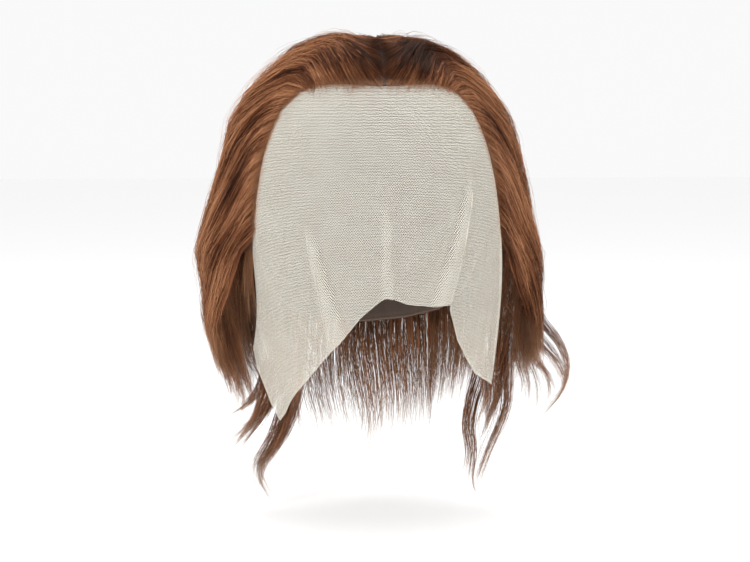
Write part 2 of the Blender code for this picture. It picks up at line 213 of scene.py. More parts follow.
LACE_HEM = tuple(HemPoint(*row) for row in (
    (-94.0, 190.0, 8.0), (-94.0, 202.0, 8.0), (-90.0, 215.0, 5.5), (-85.0, 226.0, 3.5),
    (-77.0, 236.0, 1.0), (-67.0, 229.0, 0.4), (-57.0, 218.0, 0.2), (-43.0, 204.5, 0.0),
    (-32.0, 191.0, 0.0), (-22.0, 179.0, 0.0), (-12.0, 163.0, 0.0), (-1.0, 150.5, 0.0),
    (9.0, 155.5, 0.0), (19.0, 157.0, 0.0), (29.0, 156.0, 0.0), (38.0, 180.0, 0.4), (46.0, 191.5, 0.8),
    (57.0, 203.0, 2.0), (68.0, 208.0, 4.0), (77.0, 211.0, 6.5), (84.0, 214.0, 9.0), (87.0, 206.0, 9.0),
    (87.0, 197.0, 7.0),
))


class FlowLine(NamedTuple):
    """Angle and polar of one line of hair at its root, lift, fall, hang and end."""

    root: Place
    lift: Place
    fall: Place
    hang: Place
    end: Place


# The lines that two masses share
SIDE_LINE = FlowLine((-68.0, 53.0), (-80.0, 63.0), (-93.0, 92.0), (-102.0, 123.0), (-107.0, 153.0))
REAR_LINE = FlowLine((-136.0, 2.2), (-136.0, 36.0), (-137.0, 78.0), (-138.0, 120.0), (-138.0, 160.0))
TEMPLE_FLOW = (
    FlowLine((-78.5, 93.0), (-84.0, 103.0), (-88.0, 116.0), (-92.0, 131.0), (-95.0, 147.0)),
    FlowLine((-74.5, 80.0), (-83.0, 91.0), (-89.0, 109.0), (-95.0, 130.0), (-99.0, 150.0)),
    FlowLine((-71.0, 64.0), (-81.5, 76.0), (-91.0, 101.0), (-98.5, 127.0), (-103.0, 152.0)),
    SIDE_LINE,
)
TOP_FLOW = (
    SIDE_LINE,
    FlowLine((-58.0, 45.0), (-73.0, 50.5), (-95.0, 83.0), (-106.0, 121.0), (-110.0, 154.0)),
    FlowLine((-38.0, 41.3), (-61.0, 37.0), (-98.0, 71.0), (-110.0, 118.0), (-114.0, 155.0)),
    FlowLine((-18.0, 41.3), (-52.0, 27.0), (-102.0, 64.0), (-115.0, 116.0), (-118.0, 156.0)),
    FlowLine((-0.4, 41.3), (-44.0, 22.5), (-106.0, 57.0), (-120.0, 114.0), (-123.0, 157.0)),
    FlowLine((-0.8, 22.0), (-60.0, 19.0), (-113.0, 54.0), (-126.0, 114.0), (-128.0, 158.0)),
    FlowLine((-2.0, 5.0), (-72.0, 15.5), (-123.0, 53.0), (-131.0, 115.0), (-132.0, 159.0)),
    REAR_LINE,
)
BACK_FLOW = (
    REAR_LINE,
    FlowLine((-152.0, 2.2), (-152.0, 40.0), (-152.0, 82.0), (-152.0, 128.0), (-151.0, 176.0)),
    FlowLine((-180.0, 2.2), (-180.0, 40.0), (-180.0, 83.0), (-180.0, 130.0), (-180.0, 182.0)),
    FlowLine((-208.0, 2.2), (-208.0, 40.0), (-208.0, 82.0), (-208.0, 128.0), (-209.0, 176.0)),
    FlowLine((-224.0, 2.2), (-224.0, 36.0), (-223.0, 78.0), (-222.0, 120.0), (-222.0, 160.0)),
)


class DepthRow(NamedTuple):
    """Depth of the hair over the head at one level, and the hollow below it."""

    polar: float
    left: float
    right: float
    back: float
    hollow: float


HAIR_DEPTH = tuple(DepthRow(*row) for row in (
    (0.0, 9.5, 8.0, 9.5, 0.0), (25.0, 11.5, 8.5, 12.0, 0.0), (45.0, 16.0, 10.5, 15.0, 0.0),
    (62.0, 20.0, 13.5, 18.0, 0.0), (78.0, 19.5, 15.0, 20.0, 0.0), (90.0, 26.0, 19.0, 21.0, 0.0),
    (102.0, 33.5, 26.0, 22.0, 0.5), (115.0, 32.0, 29.0, 24.0, 3.0), (130.0, 35.0, 33.0, 27.0, 8.0),
    (145.0, 32.0, 38.0, 28.0, 10.0), (160.0, 28.0, 38.0, 27.0, 10.0), (185.0, 27.0, 38.0, 26.0, 13.0),
))


class LooseLock(NamedTuple):
    """A loose lock: its half width, its strands and the points that it runs through."""

    radius: float
    strands: int
    points: Sequence[Point]


LOOSE_LOCKS = tuple(LooseLock(radius, strands, route) for radius, strands, *route in (
    (4.5, 130, (-67.7, 28.0, -208.0), (-71.7, 28.0, -219.8), (-78.2, 30.0, -229.2), (-86.1, 32.0, -236.1),
     (-95.2, 34.0, -238.9)),
    (4.5, 150, (-65.1, 30.0, -210.9), (-70.4, 30.0, -228.0), (-75.6, 32.0, -241.5), (-82.2, 34.0, -252.3),
     (-90.1, 36.0, -263.2)),
    (4.0, 120, (-63.8, 30.0, -216.2), (-69.0, 32.0, -232.3), (-76.8, 36.0, -246.1), (-87.3, 40.0, -257.2),
     (-95.3, 42.0, -265.5)),
    (4.5, 170, (-52.9, 40.0, -225.7), (-56.9, 40.0, -241.0), (-64.8, 42.0, -257.9), (-73.4, 44.0, -272.9),
     (-74.1, 46.0, -285.3), (-66.1, 48.0, -300.0)),
    (4.0, 140, (-50.1, 44.0, -231.6), (-55.4, 44.0, -250.3), (-62.0, 46.0, -264.0), (-69.4, 48.0, -277.7),
     (-71.3, 50.0, -290.2)),
    (5.5, 110, (-93.8, 18.0, -184.9), (-88.7, 20.0, -201.5), (-83.6, 22.0, -216.2), (-81.0, 24.0, -227.0),
     (-81.6, 26.0, -236.5)),
    (5.0, 90, (-102.8, 16.0, -184.6), (-97.8, 18.0, -198.5), (-92.7, 20.0, -213.2), (-90.8, 22.0, -225.3),
     (-92.1, 24.0, -236.1)),
    (3.2, 80, (104.0, 30.0, -164.6), (110.9, 22.0, -178.9), (122.4, 12.0, -192.6), (127.3, 8.0, -207.6),
     (123.2, 8.0, -223.6), (111.9, 8.0, -236.9)),
    (4.0, 90, (98.7, 30.0, -177.2), (108.4, 22.0, -190.8), (119.1, 13.0, -204.2), (123.0, 9.0, -217.0),
     (119.4, 10.0, -230.1)),
    (4.0, 70, (96.0, 32.0, -185.0), (102.9, 26.0, -199.0), (112.8, 16.0, -211.0), (116.4, 12.0, -223.8),
     (113.4, 12.0, -234.4)),
    (3.5, 50, (95.4, 42.0, -196.2), (99.2, 40.0, -207.4), (103.0, 38.0, -222.0), (98.7, 36.0, -237.8)),
    (3.5, 40, (102.4, 44.0, -196.5), (107.6, 42.0, -209.1), (111.4, 40.0, -225.0), (110.5, 38.0, -239.6)),
    (4.0, 110, (87.0, 40.0, -199.2), (86.4, 40.0, -218.0), (81.8, 40.0, -234.1), (76.8, 42.0, -249.2),
     (70.4, 44.0, -268.3)),
    (3.5, 120, (91.7, 44.0, -201.1), (91.8, 44.0, -220.0), (91.2, 44.0, -234.8), (86.5, 44.0, -249.6),
     (78.1, 46.0, -268.8), (71.0, 48.0, -289.4)),
    (3.5, 150, (73.4, 48.0, -220.3), (69.5, 48.0, -233.8), (66.8, 48.0, -251.3), (68.9, 48.0, -269.0),
     (67.2, 50.0, -287.0), (69.3, 50.0, -298.0)),
    (5.0, 110, (77.6, 40.0, -205.8), (78.4, 40.0, -224.6), (79.8, 40.0, -240.8), (80.2, 42.0, -260.0)),
    (2.6, 130, (-76.5, -12.0, -104.0), (-79.5, -6.0, -122.0), (-81.0, 0.0, -141.0), (-80.5, 6.0, -161.0),
     (-79.0, 12.0, -180.0)),
    (4.0, 90, (-58.0, 34.0, -214.0), (-66.0, 36.0, -232.0), (-79.0, 40.0, -246.0), (-90.0, 42.0, -250.0)),
    (4.0, 80, (-52.0, 42.0, -236.0), (-58.0, 42.0, -254.0), (-69.0, 44.0, -270.0), (-80.0, 46.0, -276.0)),
    (5.0, 90, (84.0, 36.0, -196.0), (82.0, 38.0, -214.0), (84.0, 40.0, -232.0), (80.0, 42.0, -252.0)),
))


class LightShadeSpot(NamedTuple):
    """A stretch of painted shade or painted light on the hair, with some of the hair's own darker or lighter
    tone, seen from the front, in millimetres and degrees.
    """

    x: float
    z: float
    tilt: float
    length: float
    width: float
    shift: float


# Painted light and shade on the hair's front: a negative shift is painted shade in hollows and under the
# rolls, a positive one is painted light on lit rims and bright streaks; some spots also stand for the hair's
# own darker and lighter locks
LIGHT_SHADE_SPOTS = tuple(LightShadeSpot(*row) for row in (
    (-25.0, -12.0, 5.0, 20.0, 5.0, -0.55), (-8.0, -9.0, 65.0, 13.0, 6.0, -0.45),
    (20.0, -6.0, -5.0, 25.0, 10.0, -1.00), (-48.0, -5.0, 22.0, 28.0, 4.0, 0.25),
    (-32.0, -6.0, 12.0, 26.0, 8.0, -0.32), (-78.0, -82.0, 66.0, 50.0, 20.0, 0.20),
    (-81.0, -24.0, 52.0, 22.0, 4.0, 0.35), (-64.0, -36.0, 55.0, 16.0, 4.0, 0.25),
    (-75.0, -42.0, 45.0, 14.0, 4.0, -0.45), (-71.0, -62.0, 70.0, 18.0, 4.0, 0.30),
    (-85.0, -76.0, 65.0, 20.0, 5.0, -0.40), (-76.0, -90.0, 65.0, 18.0, 4.0, 0.30),
    (-96.0, -58.0, 75.0, 20.0, 4.0, 0.30), (-94.0, -97.0, 52.0, 20.0, 7.0, -0.42),
    (-92.0, -122.0, 48.0, 24.0, 8.0, -0.50), (-99.0, -150.0, 85.0, 20.0, 8.0, 0.26),
    (-79.0, -170.0, 90.0, 24.0, 7.0, -0.50), (-97.0, -190.0, 80.0, 24.0, 9.0, 0.24),
    (88.0, -92.0, -65.0, 28.0, 5.0, 0.40), (78.0, -113.0, -72.0, 28.0, 5.0, -0.40),
    (94.0, -135.0, -70.0, 24.0, 6.0, 0.16), (73.0, -176.0, 90.0, 30.0, 8.0, -0.45),
    (62.0, -16.0, -35.0, 22.0, 5.0, 0.20), (72.0, -50.0, -55.0, 18.0, 5.0, -0.35),
    (100.0, -160.0, -85.0, 24.0, 5.0, -0.25), (84.0, -58.0, -60.0, 22.0, 3.5, 0.28),
    (-104.0, -98.0, 66.0, 26.0, 4.5, 0.55), (-111.0, -128.0, 82.0, 22.0, 4.5, 0.50),
    (-95.0, -170.0, 85.0, 36.0, 16.0, 0.16), (90.0, -178.0, 85.0, 34.0, 16.0, -0.14),
))


def painted_light_shift(points: Array) -> Array:
    """Painted light and painted shade: how much lighter or darker the hair is made at places on its front.

    Args:
        points: Places in millimetres, with x, y, z on the last axis.

    Returns:
        Shifts of the lock's tint.
    """
    total = np.zeros(points.shape[:-1])
    for spot in LIGHT_SHADE_SPOTS:
        turn = math.radians(spot.tilt)
        over, up = points[..., 0] - spot.x, points[..., 2] - spot.z
        along = over * math.cos(turn) + up * math.sin(turn)
        across = up * math.cos(turn) - over * math.sin(turn)
        total = total + spot.shift * np.exp(-((along / spot.length) ** 2) - (across / spot.width) ** 2)
    # The painted light and shade fade out toward the back of the head
    return total * ease((SPOT_REACH - points[..., 1]) / SPOT_FADE)


def toward_lace(
    angle: Array, polar: Array, distance: Array | float, near: Array | float = 1.0
) -> tuple[Array, Array]:
    """Places moved off the hairline onto the lace.

    Args:
        angle: Angles round the head.
        polar: Polars.
        distance: How far they move in millimetres.
        near: Share of the gap beside the face that is closed too.

    Returns:
        New angles and polars.
    """
    beside = ease((np.abs(angle) - 35.0) / 30.0)
    gap = np.where(angle > 0.0, RIGHT_GAP, LEFT_GAP)
    drop = HEAD.drop_of(polar) + distance * (1.0 - beside)
    turned = np.sign(angle) * beside * (distance + gap * near) / MM_PER_DEGREE
    return angle - turned, HEAD.polar_of(drop)


def draw(rng: np.random.Generator, low: float, high: float, count: int) -> Array:
    """Random numbers from low to high in a column, one for each strand."""
    return rng.uniform(low, high, count)[:, None]


def across_of(paths: Array, ups: Array, axis: int = 1) -> Array:
    """Unit vectors across hair that runs along one axis of its points."""
    return unit(np.cross(unit(np.gradient(paths, axis=axis)), ups))


def moved(paths: Array, side: Array, ups: Array, sideways: Array, outward: Array) -> Array:
    """Points moved to their side and outward, in millimetres."""
    return paths + side * sideways[..., None] + ups * outward[..., None]


def dress(piece: Object) -> None:
    """Give a piece its body."""
    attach(piece, BODY)


def add_wall(piece: Object, thickness: float, offset: float) -> None:
    """Give a sheet a wall.

    Args:
        piece: The object.
        thickness: The wall in millimetres.
        offset: On which side it is laid, from -1 to 1.
    """
    wall = piece.modifiers.new("wall", "SOLIDIFY")
    wall.thickness = thickness * MM
    wall.offset = offset


def column(rows: Sequence[NamedTuple], name: str) -> Array:
    """One column of a table, in order."""
    return np.array([getattr(row, name) for row in rows])


def read_table(rows: Sequence[NamedTuple], name: str, place: Array) -> Array:
    """A column of a table, read at places from 0 to 1 along its rows."""
    values = column(rows, name)
    return np.interp(place * (len(rows) - 1), np.arange(len(rows)), values)


def spline(stations: Array, along: Array) -> Array:
    """Smooth curves through evenly spaced stations, carried on straight past the end.

    Args:
        stations: Values with the stations on axis -2 and the coordinates on axis -1.
        along: Places from 0 at the first station to 1 at the last.

    Returns:
        Coordinates at those places.
    """
    spans = stations.shape[-2] - 1
    place = np.clip(along, 0.0, 1.0) * spans
    first = np.minimum(place.astype(int), spans - 1)
    part = (place - first)[..., None]

    def station(number: Array) -> Array:
        """Read one station of each curve."""
        held = np.clip(number, 0, spans)[..., None, None]
        wanted = np.broadcast_to(held, (*held.shape[:-1], stations.shape[-1]))
        return np.take_along_axis(stations, wanted, axis=-2)[..., 0, :]

    before, start, stop, after = (station(first + step) for step in (-1, 0, 1, 2))
    bend = 2.0 * before - 5.0 * start + 4.0 * stop - after
    twist = 3.0 * (start - stop) + after - before
    inside = start + 0.5 * part * (stop - before + part * (bend + part * twist))
    slope = stations[..., -1, :] - stations[..., -2, :]
    beyond = np.maximum(along - 1.0, 0.0)[..., None] * spans * 0.8
    return inside + slope * beyond


@dataclass(frozen=True)
class HairFlow:
    """How one mass of hair lies on the head."""

    lines: tuple[FlowLine, ...]
    locks: int
    mirrored: bool = False
    right_share: float = 0.915
    right_end_lift: float = 4.0
    standoff: float = 2.85
    root_depth: float = 1.6
    rise_places: tuple[float, ...] = (0.0, 1.0)
    rise_lengths: tuple[float, ...] = (26.0, 26.0)
    part_from: float = 2.0
    lock_relief: float = 2.6

    def mirror_share(self, angle: Array) -> Array:
        """What angles are multiplied by: the right hairline sits a little nearer the face."""
        behind = ease((np.abs(angle) - 80.0) / 50.0)
        return self.right_share + (1.0 - self.right_share) * behind

    def places(self, across: Array, along: Array) -> tuple[Array, Array]:
        """Where hair lies on the head.

        Args:
            across: Places across the flow lines, 0 to 1.
            along: Places along them, 0 at the root and 1 at the end.

        Returns:
            Angles and polars.
        """
        table = np.array(self.lines)
        across, along = np.broadcast_arrays(across, along)
        place = np.clip(across, -0.06, 1.06) * (len(table) - 1)
        first = np.clip(place.astype(int), 0, len(table) - 2)
        part = (place - first)[..., None, None]
        stations = table[first] * (1.0 - part) + table[first + 1] * part
        found = spline(stations, along)
        angle, polar = found[..., 0], found[..., 1]
        if self.mirrored:
            polar = polar - self.right_end_lift * np.clip(along, 0.0, 1.0) ** 3
            angle = -angle * self.mirror_share(angle)
        return angle, polar

    def top(self, across: Array, along: Array) -> tuple[Array, Array, Array, Array]:
        """The outer form of the mass.

        Args:
            across: Places across the flow lines.
            along: Places along them.

        Returns:
            Angle, polar, outer standoff and distance from the root.
        """
        across, along = np.broadcast_arrays(across, along)
        angle, polar = self.places(across, along)
        root_angle, root_polar = self.places(across, np.zeros_like(along))
        reach = HEAD.surface(angle, polar) - HEAD.surface(root_angle, root_polar)
        gone = np.linalg.norm(reach, axis=-1)
        depth, hollow = hair_depth(angle, polar)
        ridge = np.abs(np.sin(math.pi * across * self.locks))
        depth = depth + self.lock_relief * (ridge - 0.5) * ease(gone / 60.0)
        low = self.standoff + hollow
        rise = np.interp(across, self.rise_places, self.rise_lengths)
        grown = ease(0.12 + gone / rise)
        high = low + self.root_depth + (depth - low - self.root_depth) * grown
        return angle, polar, high, gone

    def root_lift(self, across: Array) -> Array:
        """How far above the lace strands start, in millimetres: more along the part."""
        return 1.0 + 4.5 * ease((across - self.part_from) / 0.08)


def hair_depth(angle: Array, polar: Array) -> tuple[Array, Array]:
    """Depth of the hair over the head and the hollow below it.

    Args:
        angle: Angles round the head.
        polar: Polar coordinates.

    Returns:
        Depths and hollows in millimetres.
    """
    levels = column(HAIR_DEPTH, "polar")
    turn = np.radians(angle)
    names = ("left", "right", "back", "hollow")
    left, right, back, hollow = (np.interp(polar, levels, column(HAIR_DEPTH, name)) for name in names)
    beside = np.where(np.sin(turn) > 0.0, right, left)
    opposite = np.where(np.sin(turn) > 0.0, left, right)
    reach = np.maximum(0.2, np.sin(np.radians(np.minimum(polar, 90.0))))
    centre = 0.5 * (1.0 - ease(np.abs(np.sin(turn)) * reach * 4.0))
    beside = beside + (opposite - beside) * centre
    behind = ease((-np.cos(turn) - 0.15) / 0.6)
    return beside + (back - beside) * behind, hollow


class StrandMesh:
    """Gathers many thin closed tubes into one mesh."""

    # Height of a tube as a share of its width
    flatness = 0.6

    def __init__(self, name: str) -> None:
        """Start empty.

        Args:
            name: The piece's name.
        """
        self.name = name
        self.points: list[Array] = []
        self.shades: list[Array] = []
        self.triangles: list[Array] = []
        self.quads: list[Array] = []
        self.used = 0

    def add(self, paths: Array, ups: Array, radii: Array, shades: Array, sides: int = 3) -> None:
        """Add tubes that are closed to a point at both ends.

        Args:
            paths: Centre lines, (tubes, points, 3), in millimetres.
            ups: Directions that the tubes' upper sides face, same shape.
            radii: Half widths, (tubes, points).
            shades: Values for the finish, (tubes, points, 3).
            sides: Faces round a tube.
        """
        count, length = paths.shape[:2]
        tangents = unit(np.gradient(paths, axis=1))
        side = unit(np.cross(tangents, ups))
        lift = np.cross(side, tangents)
        turns = math.pi / 2.0 + np.arange(sides) * math.tau / sides
        spread = np.cos(turns)[None, None, :, None] * side[:, 1:-1, None, :]
        spread = spread + self.flatness * np.sin(turns)[None, None, :, None] * lift[:, 1:-1, None, :]
        rings = paths[:, 1:-1, None, :] + radii[:, 1:-1, None, None] * spread
        rings = rings.reshape(count, -1, 3)
        points = np.concatenate((paths[:, :1], rings, paths[:, -1:]), axis=1)
        ring_shades = np.repeat(shades[:, 1:-1], sides, axis=1)
        tones = np.concatenate((shades[:, :1], ring_shades, shades[:, -1:]), axis=1)
        here = np.arange(sides)
        following = (here + 1) % sides
        last = 1 + (length - 2) * sides
        root_fan = np.stack((np.zeros(sides, int), 1 + here, 1 + following), axis=1)
        base = last - sides
        tip_fan = np.stack((np.full(sides, last), base + following, base + here), axis=1)
        steps = (1 + np.arange(length - 3) * sides)[:, None]
        ring = (steps + here, steps + sides + here, steps + sides + following, steps + following)
        wall = np.stack(ring, axis=2).reshape(-1, 4)
        offsets = self.used + np.arange(count)[:, None, None] * (last + 1)
        fans = np.concatenate((root_fan, tip_fan))
        self.triangles.append((fans[None] + offsets).reshape(-1, 3))
        self.quads.append((wall[None] + offsets).reshape(-1, 4))
        self.points.append(points.reshape(-1, 3))
        self.shades.append(tones.reshape(-1, 3))
        self.used += count * (last + 1)

    def build(self, material: Material) -> Object:
        """Make the object.

        Args:
            material: Its finish.

        Returns:
            The linked object.
        """
        points = np.concatenate(self.points) * MM
        shades = np.concatenate(self.shades)
        triangles, quads = np.concatenate(self.triangles), np.concatenate(self.quads)
        corners = np.concatenate((triangles.ravel(), quads.ravel())).astype(np.int32)
        totals = np.concatenate((np.full(len(triangles), 3), np.full(len(quads), 4))).astype(np.int32)
        starts = np.concatenate(([0], np.cumsum(totals)[:-1])).astype(np.int32)
        mesh = bpy.data.meshes.new(self.name)
        mesh.vertices.add(len(points))
        mesh.vertices.foreach_set("co", points.astype(np.float32).ravel())
        mesh.loops.add(len(corners))
        mesh.loops.foreach_set("vertex_index", corners)
        mesh.polygons.add(len(totals))
        mesh.polygons.foreach_set("loop_start", starts)
        mesh.update(calc_edges=True)
        mesh.shade_smooth()
        write_shades(mesh, shades)
        mesh.materials.append(material)
        return link(self.name, mesh)


def write_shades(mesh: bpy.types.Mesh, shades: Array) -> None:
    """Keep three finish values on each vertex.

    Args:
        mesh: The mesh.
        shades: Place along the hair, tint of the strand and tint of the lock, which also carries painted
            shade and painted light.
    """
    layer = mesh.color_attributes.new(SHADE_LAYER, "FLOAT_COLOR", "POINT")
    tones = np.concatenate((shades, np.ones((len(shades), 1))), axis=1)
    layer.data.foreach_set("color", tones.astype(np.float32).ravel())


def link(name: str, mesh: bpy.types.Mesh) -> Object:
    """Put a mesh in the scene.

    Args:
        name: The object's name.
        mesh: Its mesh.

    Returns:
        The object.
    """
    obj = bpy.data.objects.new(name, mesh)
    bpy.context.scene.collection.objects.link(obj)
    return obj


def sheet_mesh(name: str, points: Array, flat: Array, shades: Array | None = None) -> bpy.types.Mesh:
    """A sheet of quads laid through rows of points.

    Args:
        name: The mesh's name.
        points: (rows, columns, 3) in millimetres.
        flat: (rows, columns, 2), the same places with the sheet laid flat, in millimetres.
        shades: Values for the hair finish, (rows, columns, 3).

    Returns:
        The mesh, with its flat places as a UV map.
    """
    rows, columns = points.shape[:2]
    bm = bmesh.new()
    bmesh.ops.create_grid(bm, x_segments=columns - 1, y_segments=rows - 1, size=1.0)
    bm.verts.ensure_lookup_table()
    order = []
    for vert in bm.verts:
        row = int(round((vert.co.y + 1.0) * 0.5 * (rows - 1)))
        order.append((row, int(round((vert.co.x + 1.0) * 0.5 * (columns - 1)))))
    uv_map = bm.loops.layers.uv.new("flat")
    for face in bm.faces:
        for corner in face.loops:
            corner[uv_map].uv = flat[order[corner.vert.index]] * MM
    for vert, place in zip(bm.verts, order):
        vert.co = points[place] * MM
    mesh = bpy.data.meshes.new(name)
    bm.to_mesh(mesh)
    bm.free()
    mesh.shade_smooth()
    if shades is not None:
        write_shades(mesh, np.array([shades[place] for place in order]))
    return mesh


class NodeBench:
    """Adds and joins nodes in one tree."""

    def __init__(self, tree: bpy.types.NodeTree) -> None:
        """Work on the tree of one material or group."""
        self.tree = tree

    def add(self, kind: str, **settings: object) -> bpy.types.Node:
        """Add a node.

        Args:
            kind: The node's type name without ShaderNode.
            settings: Its settings.

        Returns:
            The node.
        """
        node = self.tree.nodes.new("ShaderNode" + kind)
        for name, value in settings.items():
            setattr(node, name, value)
        return node

    def put(self, socket: Socket, value: object) -> None:
        """Join a socket to another, or set its value.

        Args:
            socket: The input.
            value: An output socket, a number or a vector.
        """
        if isinstance(value, Socket):
            self.tree.links.new(value, socket)
        else:
            socket.default_value = value

    def math(self, operation: str, *values: object, clamp: bool = False) -> Socket:
        """Add a Math node.

        Args:
            operation: What it does.
            values: Its inputs.
            clamp: Whether its result is held between 0 and 1.

        Returns:
            Its result.
        """
        node = self.add("Math", operation=operation, use_clamp=clamp)
        for socket, value in zip(node.inputs, values):
            self.put(socket, value)
        return node.outputs[0]

    def vector(self, operation: str, *values: object) -> Socket:
        """Add a Vector Math node.

        Args:
            operation: What it does.
            values: Its inputs.

        Returns:
            Its vector, or its number where the operation gives one.
        """
        node = self.add("VectorMath", operation=operation)
        for socket, value in zip(node.inputs, values):
            self.put(socket, value)
        return node.outputs["Value" if operation in ("LENGTH", "DOT_PRODUCT") else "Vector"]

    def mix(self, factor: object, first: object, second: object) -> Socket:
        """Mix two colours.

        Args:
            factor: Share of the second.
            first: A colour or a socket.
            second: A colour or a socket.

        Returns:
            The mixed colour.
        """
        node = self.add("Mix", data_type="RGBA")
        for name, value in (("Factor_Float", factor), ("A_Color", first), ("B_Color", second)):
            socket = next(s for s in node.inputs if s.identifier == name)
            self.put(socket, (*value, 1.0) if isinstance(value, tuple) else value)
        return next(s for s in node.outputs if s.identifier == "Result_Color")

    def noise(self, place: object, scale: float, detail: float = 3.0) -> Socket:
        """Add noise.

        Args:
            place: Coordinates.
            scale: How fine it is.
            detail: How many finer layers it has.

        Returns:
            A value round 0.5.
        """
        node = self.add("TexNoise")
        self.put(node.inputs["Vector"], place)
        node.inputs["Scale"].default_value = scale
        node.inputs["Detail"].default_value = detail
        return node.outputs["Fac"]

    def span(
        self, value: object, low: float, high: float, out_low: float = 0.0, out_high: float = 1.0
    ) -> Socket:
        """Stretch a range of values.

        Args:
            value: What is stretched.
            low: Where the range starts.
            high: Where it ends.
            out_low: What the start becomes.
            out_high: What the end becomes.

        Returns:
            The stretched value, held at both ends.
        """
        node = self.add("MapRange")
        for socket, given in zip(node.inputs, (value, low, high, out_low, out_high)):
            self.put(socket, given)
        return node.outputs[0]


class GroupBench(NodeBench):
    """Builds a node group with named inputs and outputs."""

    def __init__(self, name: str, inputs: Labels, outputs: Labels) -> None:
        """Make the group and its sockets.

        Args:
            name: The group's name.
            inputs: Name and kind of each input.
            outputs: Name and kind of each output.
        """
        super().__init__(bpy.data.node_groups.new(name, "ShaderNodeTree"))
        for side, labels in (("INPUT", inputs), ("OUTPUT", outputs)):
            for label, kind in labels:
                self.tree.interface.new_socket(label, in_out=side, socket_type="NodeSocket" + kind)
        self.given = self.tree.nodes.new("NodeGroupInput").outputs
        self.result = self.tree.nodes.new("NodeGroupOutput").inputs


class MaterialBench(NodeBench):
    """Builds a material round its Principled shader."""

    def __init__(self, name: str, roughness: float) -> None:
        """Start the material.

        Args:
            name: Its name.
            roughness: How dull it is.
        """
        self.material = bpy.data.materials.new(name)
        self.material.use_nodes = True
        super().__init__(self.material.node_tree)
        self.shader = self.tree.nodes["Principled BSDF"].inputs
        self.shader["Roughness"].default_value = roughness

    def coordinates(self, kind: str) -> Socket:
        """Places on the surface: UV where it is laid flat, Object in space."""
        return self.add("TexCoord").outputs[kind]

    def shades(self) -> bpy.types.bpy_prop_collection:
        """The three values that each vertex has."""
        parts = self.add("SeparateColor")
        self.put(parts.inputs[0], self.add("Attribute", attribute_name=SHADE_LAYER).outputs["Color"])
        return parts.outputs

    def relief(self, height: Socket, strength: float, depth: float) -> None:
        """Raise the surface by a pattern.

        Args:
            height: The pattern.
            strength: Share of it that shows.
            depth: Its depth in millimetres.
        """
        bump = self.add("Bump")
        bump.inputs["Strength"].default_value = strength
        bump.inputs["Distance"].default_value = depth * MM
        self.put(bump.inputs["Height"], height)
        self.put(self.shader["Normal"], bump.outputs["Normal"])

    def group(self, tree: bpy.types.NodeTree, **values: object) -> bpy.types.bpy_prop_collection:
        """Place a node group.

        Args:
            tree: The group.
            values: Its inputs by name.

        Returns:
            The group's outputs.
        """
        node = self.tree.nodes.new("ShaderNodeGroup")
        node.node_tree = tree
        for name, value in values.items():
            self.put(node.inputs[name], value)
        return node.outputs


def hair_tone_group() -> bpy.types.NodeTree:
    """Colour of hair from its place along the strand and the tints of strand and lock."""
    numbers = tuple((label, "Float") for label in ("Along", "Strand", "Lock"))
    colours = tuple((label, "Color") for label in ("Root", "Body", "Light", "Tip"))
    bench = GroupBench("hair tone", numbers + colours, (("Color", "Color"),))
    given = bench.given
    strand_weight, lock_weight = 0.65, 0.75
    from_strand = bench.math("MULTIPLY", given["Strand"], strand_weight)
    lit = bench.math("ADD", from_strand, bench.math("MULTIPLY", given["Lock"], lock_weight))
    # Low tints mix toward the Root colour, which shows darker locks and the painted shade carried in the lock
    # tint; high tints mix toward Light, which shows lighter locks and the painted light
    darker = bench.mix(bench.span(lit, 0.3, 0.74), given["Root"], given["Body"])
    shaded = bench.mix(bench.span(lit, 0.68, 1.2), darker, given["Light"])
    tipped = bench.mix(bench.span(given["Along"], 0.68, 1.05, 0.0, 0.8), shaded, given["Tip"])
    bench.put(bench.result["Color"], tipped)
    return bench.tree


def net_group() -> bpy.types.NodeTree:
    """A net of six-sided cells of size one."""
    bench = GroupBench("six sided net", (("Place", "Vector"), ("Thread", "Float")), (("Thread", "Float"),))
    tall = math.sqrt(3.0)
    half = (0.5, 0.5, 0.5)
    shared = bench.vector("DIVIDE", bench.given["Place"], (1.0, tall, 1.0))
    offsets = []
    for place in (shared, bench.vector("ADD", shared, half)):
        inside = bench.vector("SUBTRACT", bench.vector("FRACTION", place), half)
        offsets.append(bench.vector("MULTIPLY", inside, (1.0, tall, 0.0)))
    first, second = offsets
    nearer = bench.math("LESS_THAN", bench.vector("LENGTH", first), bench.vector("LENGTH", second))
    chosen = bench.add("Mix", data_type="VECTOR")
    for name, value in (("Factor_Float", nearer), ("A_Vector", second), ("B_Vector", first)):
        bench.put(next(s for s in chosen.inputs if s.identifier == name), value)
    centre = next(s for s in chosen.outputs if s.identifier == "Result_Vector")
    parts = bench.add("SeparateXYZ")
    bench.put(parts.inputs[0], bench.vector("ABSOLUTE", centre))
    over, up = parts.outputs[0], parts.outputs[1]
    slant = bench.math("ADD", bench.math("MULTIPLY", over, 0.5), bench.math("MULTIPLY", up, tall / 2.0))
    edge = bench.math("SUBTRACT", 0.5, bench.math("MAXIMUM", over, slant))
    thread = bench.given["Thread"]
    soft = bench.math("MULTIPLY", thread, 0.6)
    rise = bench.math("DIVIDE", bench.math("SUBTRACT", thread, edge), soft)
    bench.put(bench.result["Thread"], bench.math("MINIMUM", bench.math("MAXIMUM", rise, 0.0), 1.0))
    return bench.tree


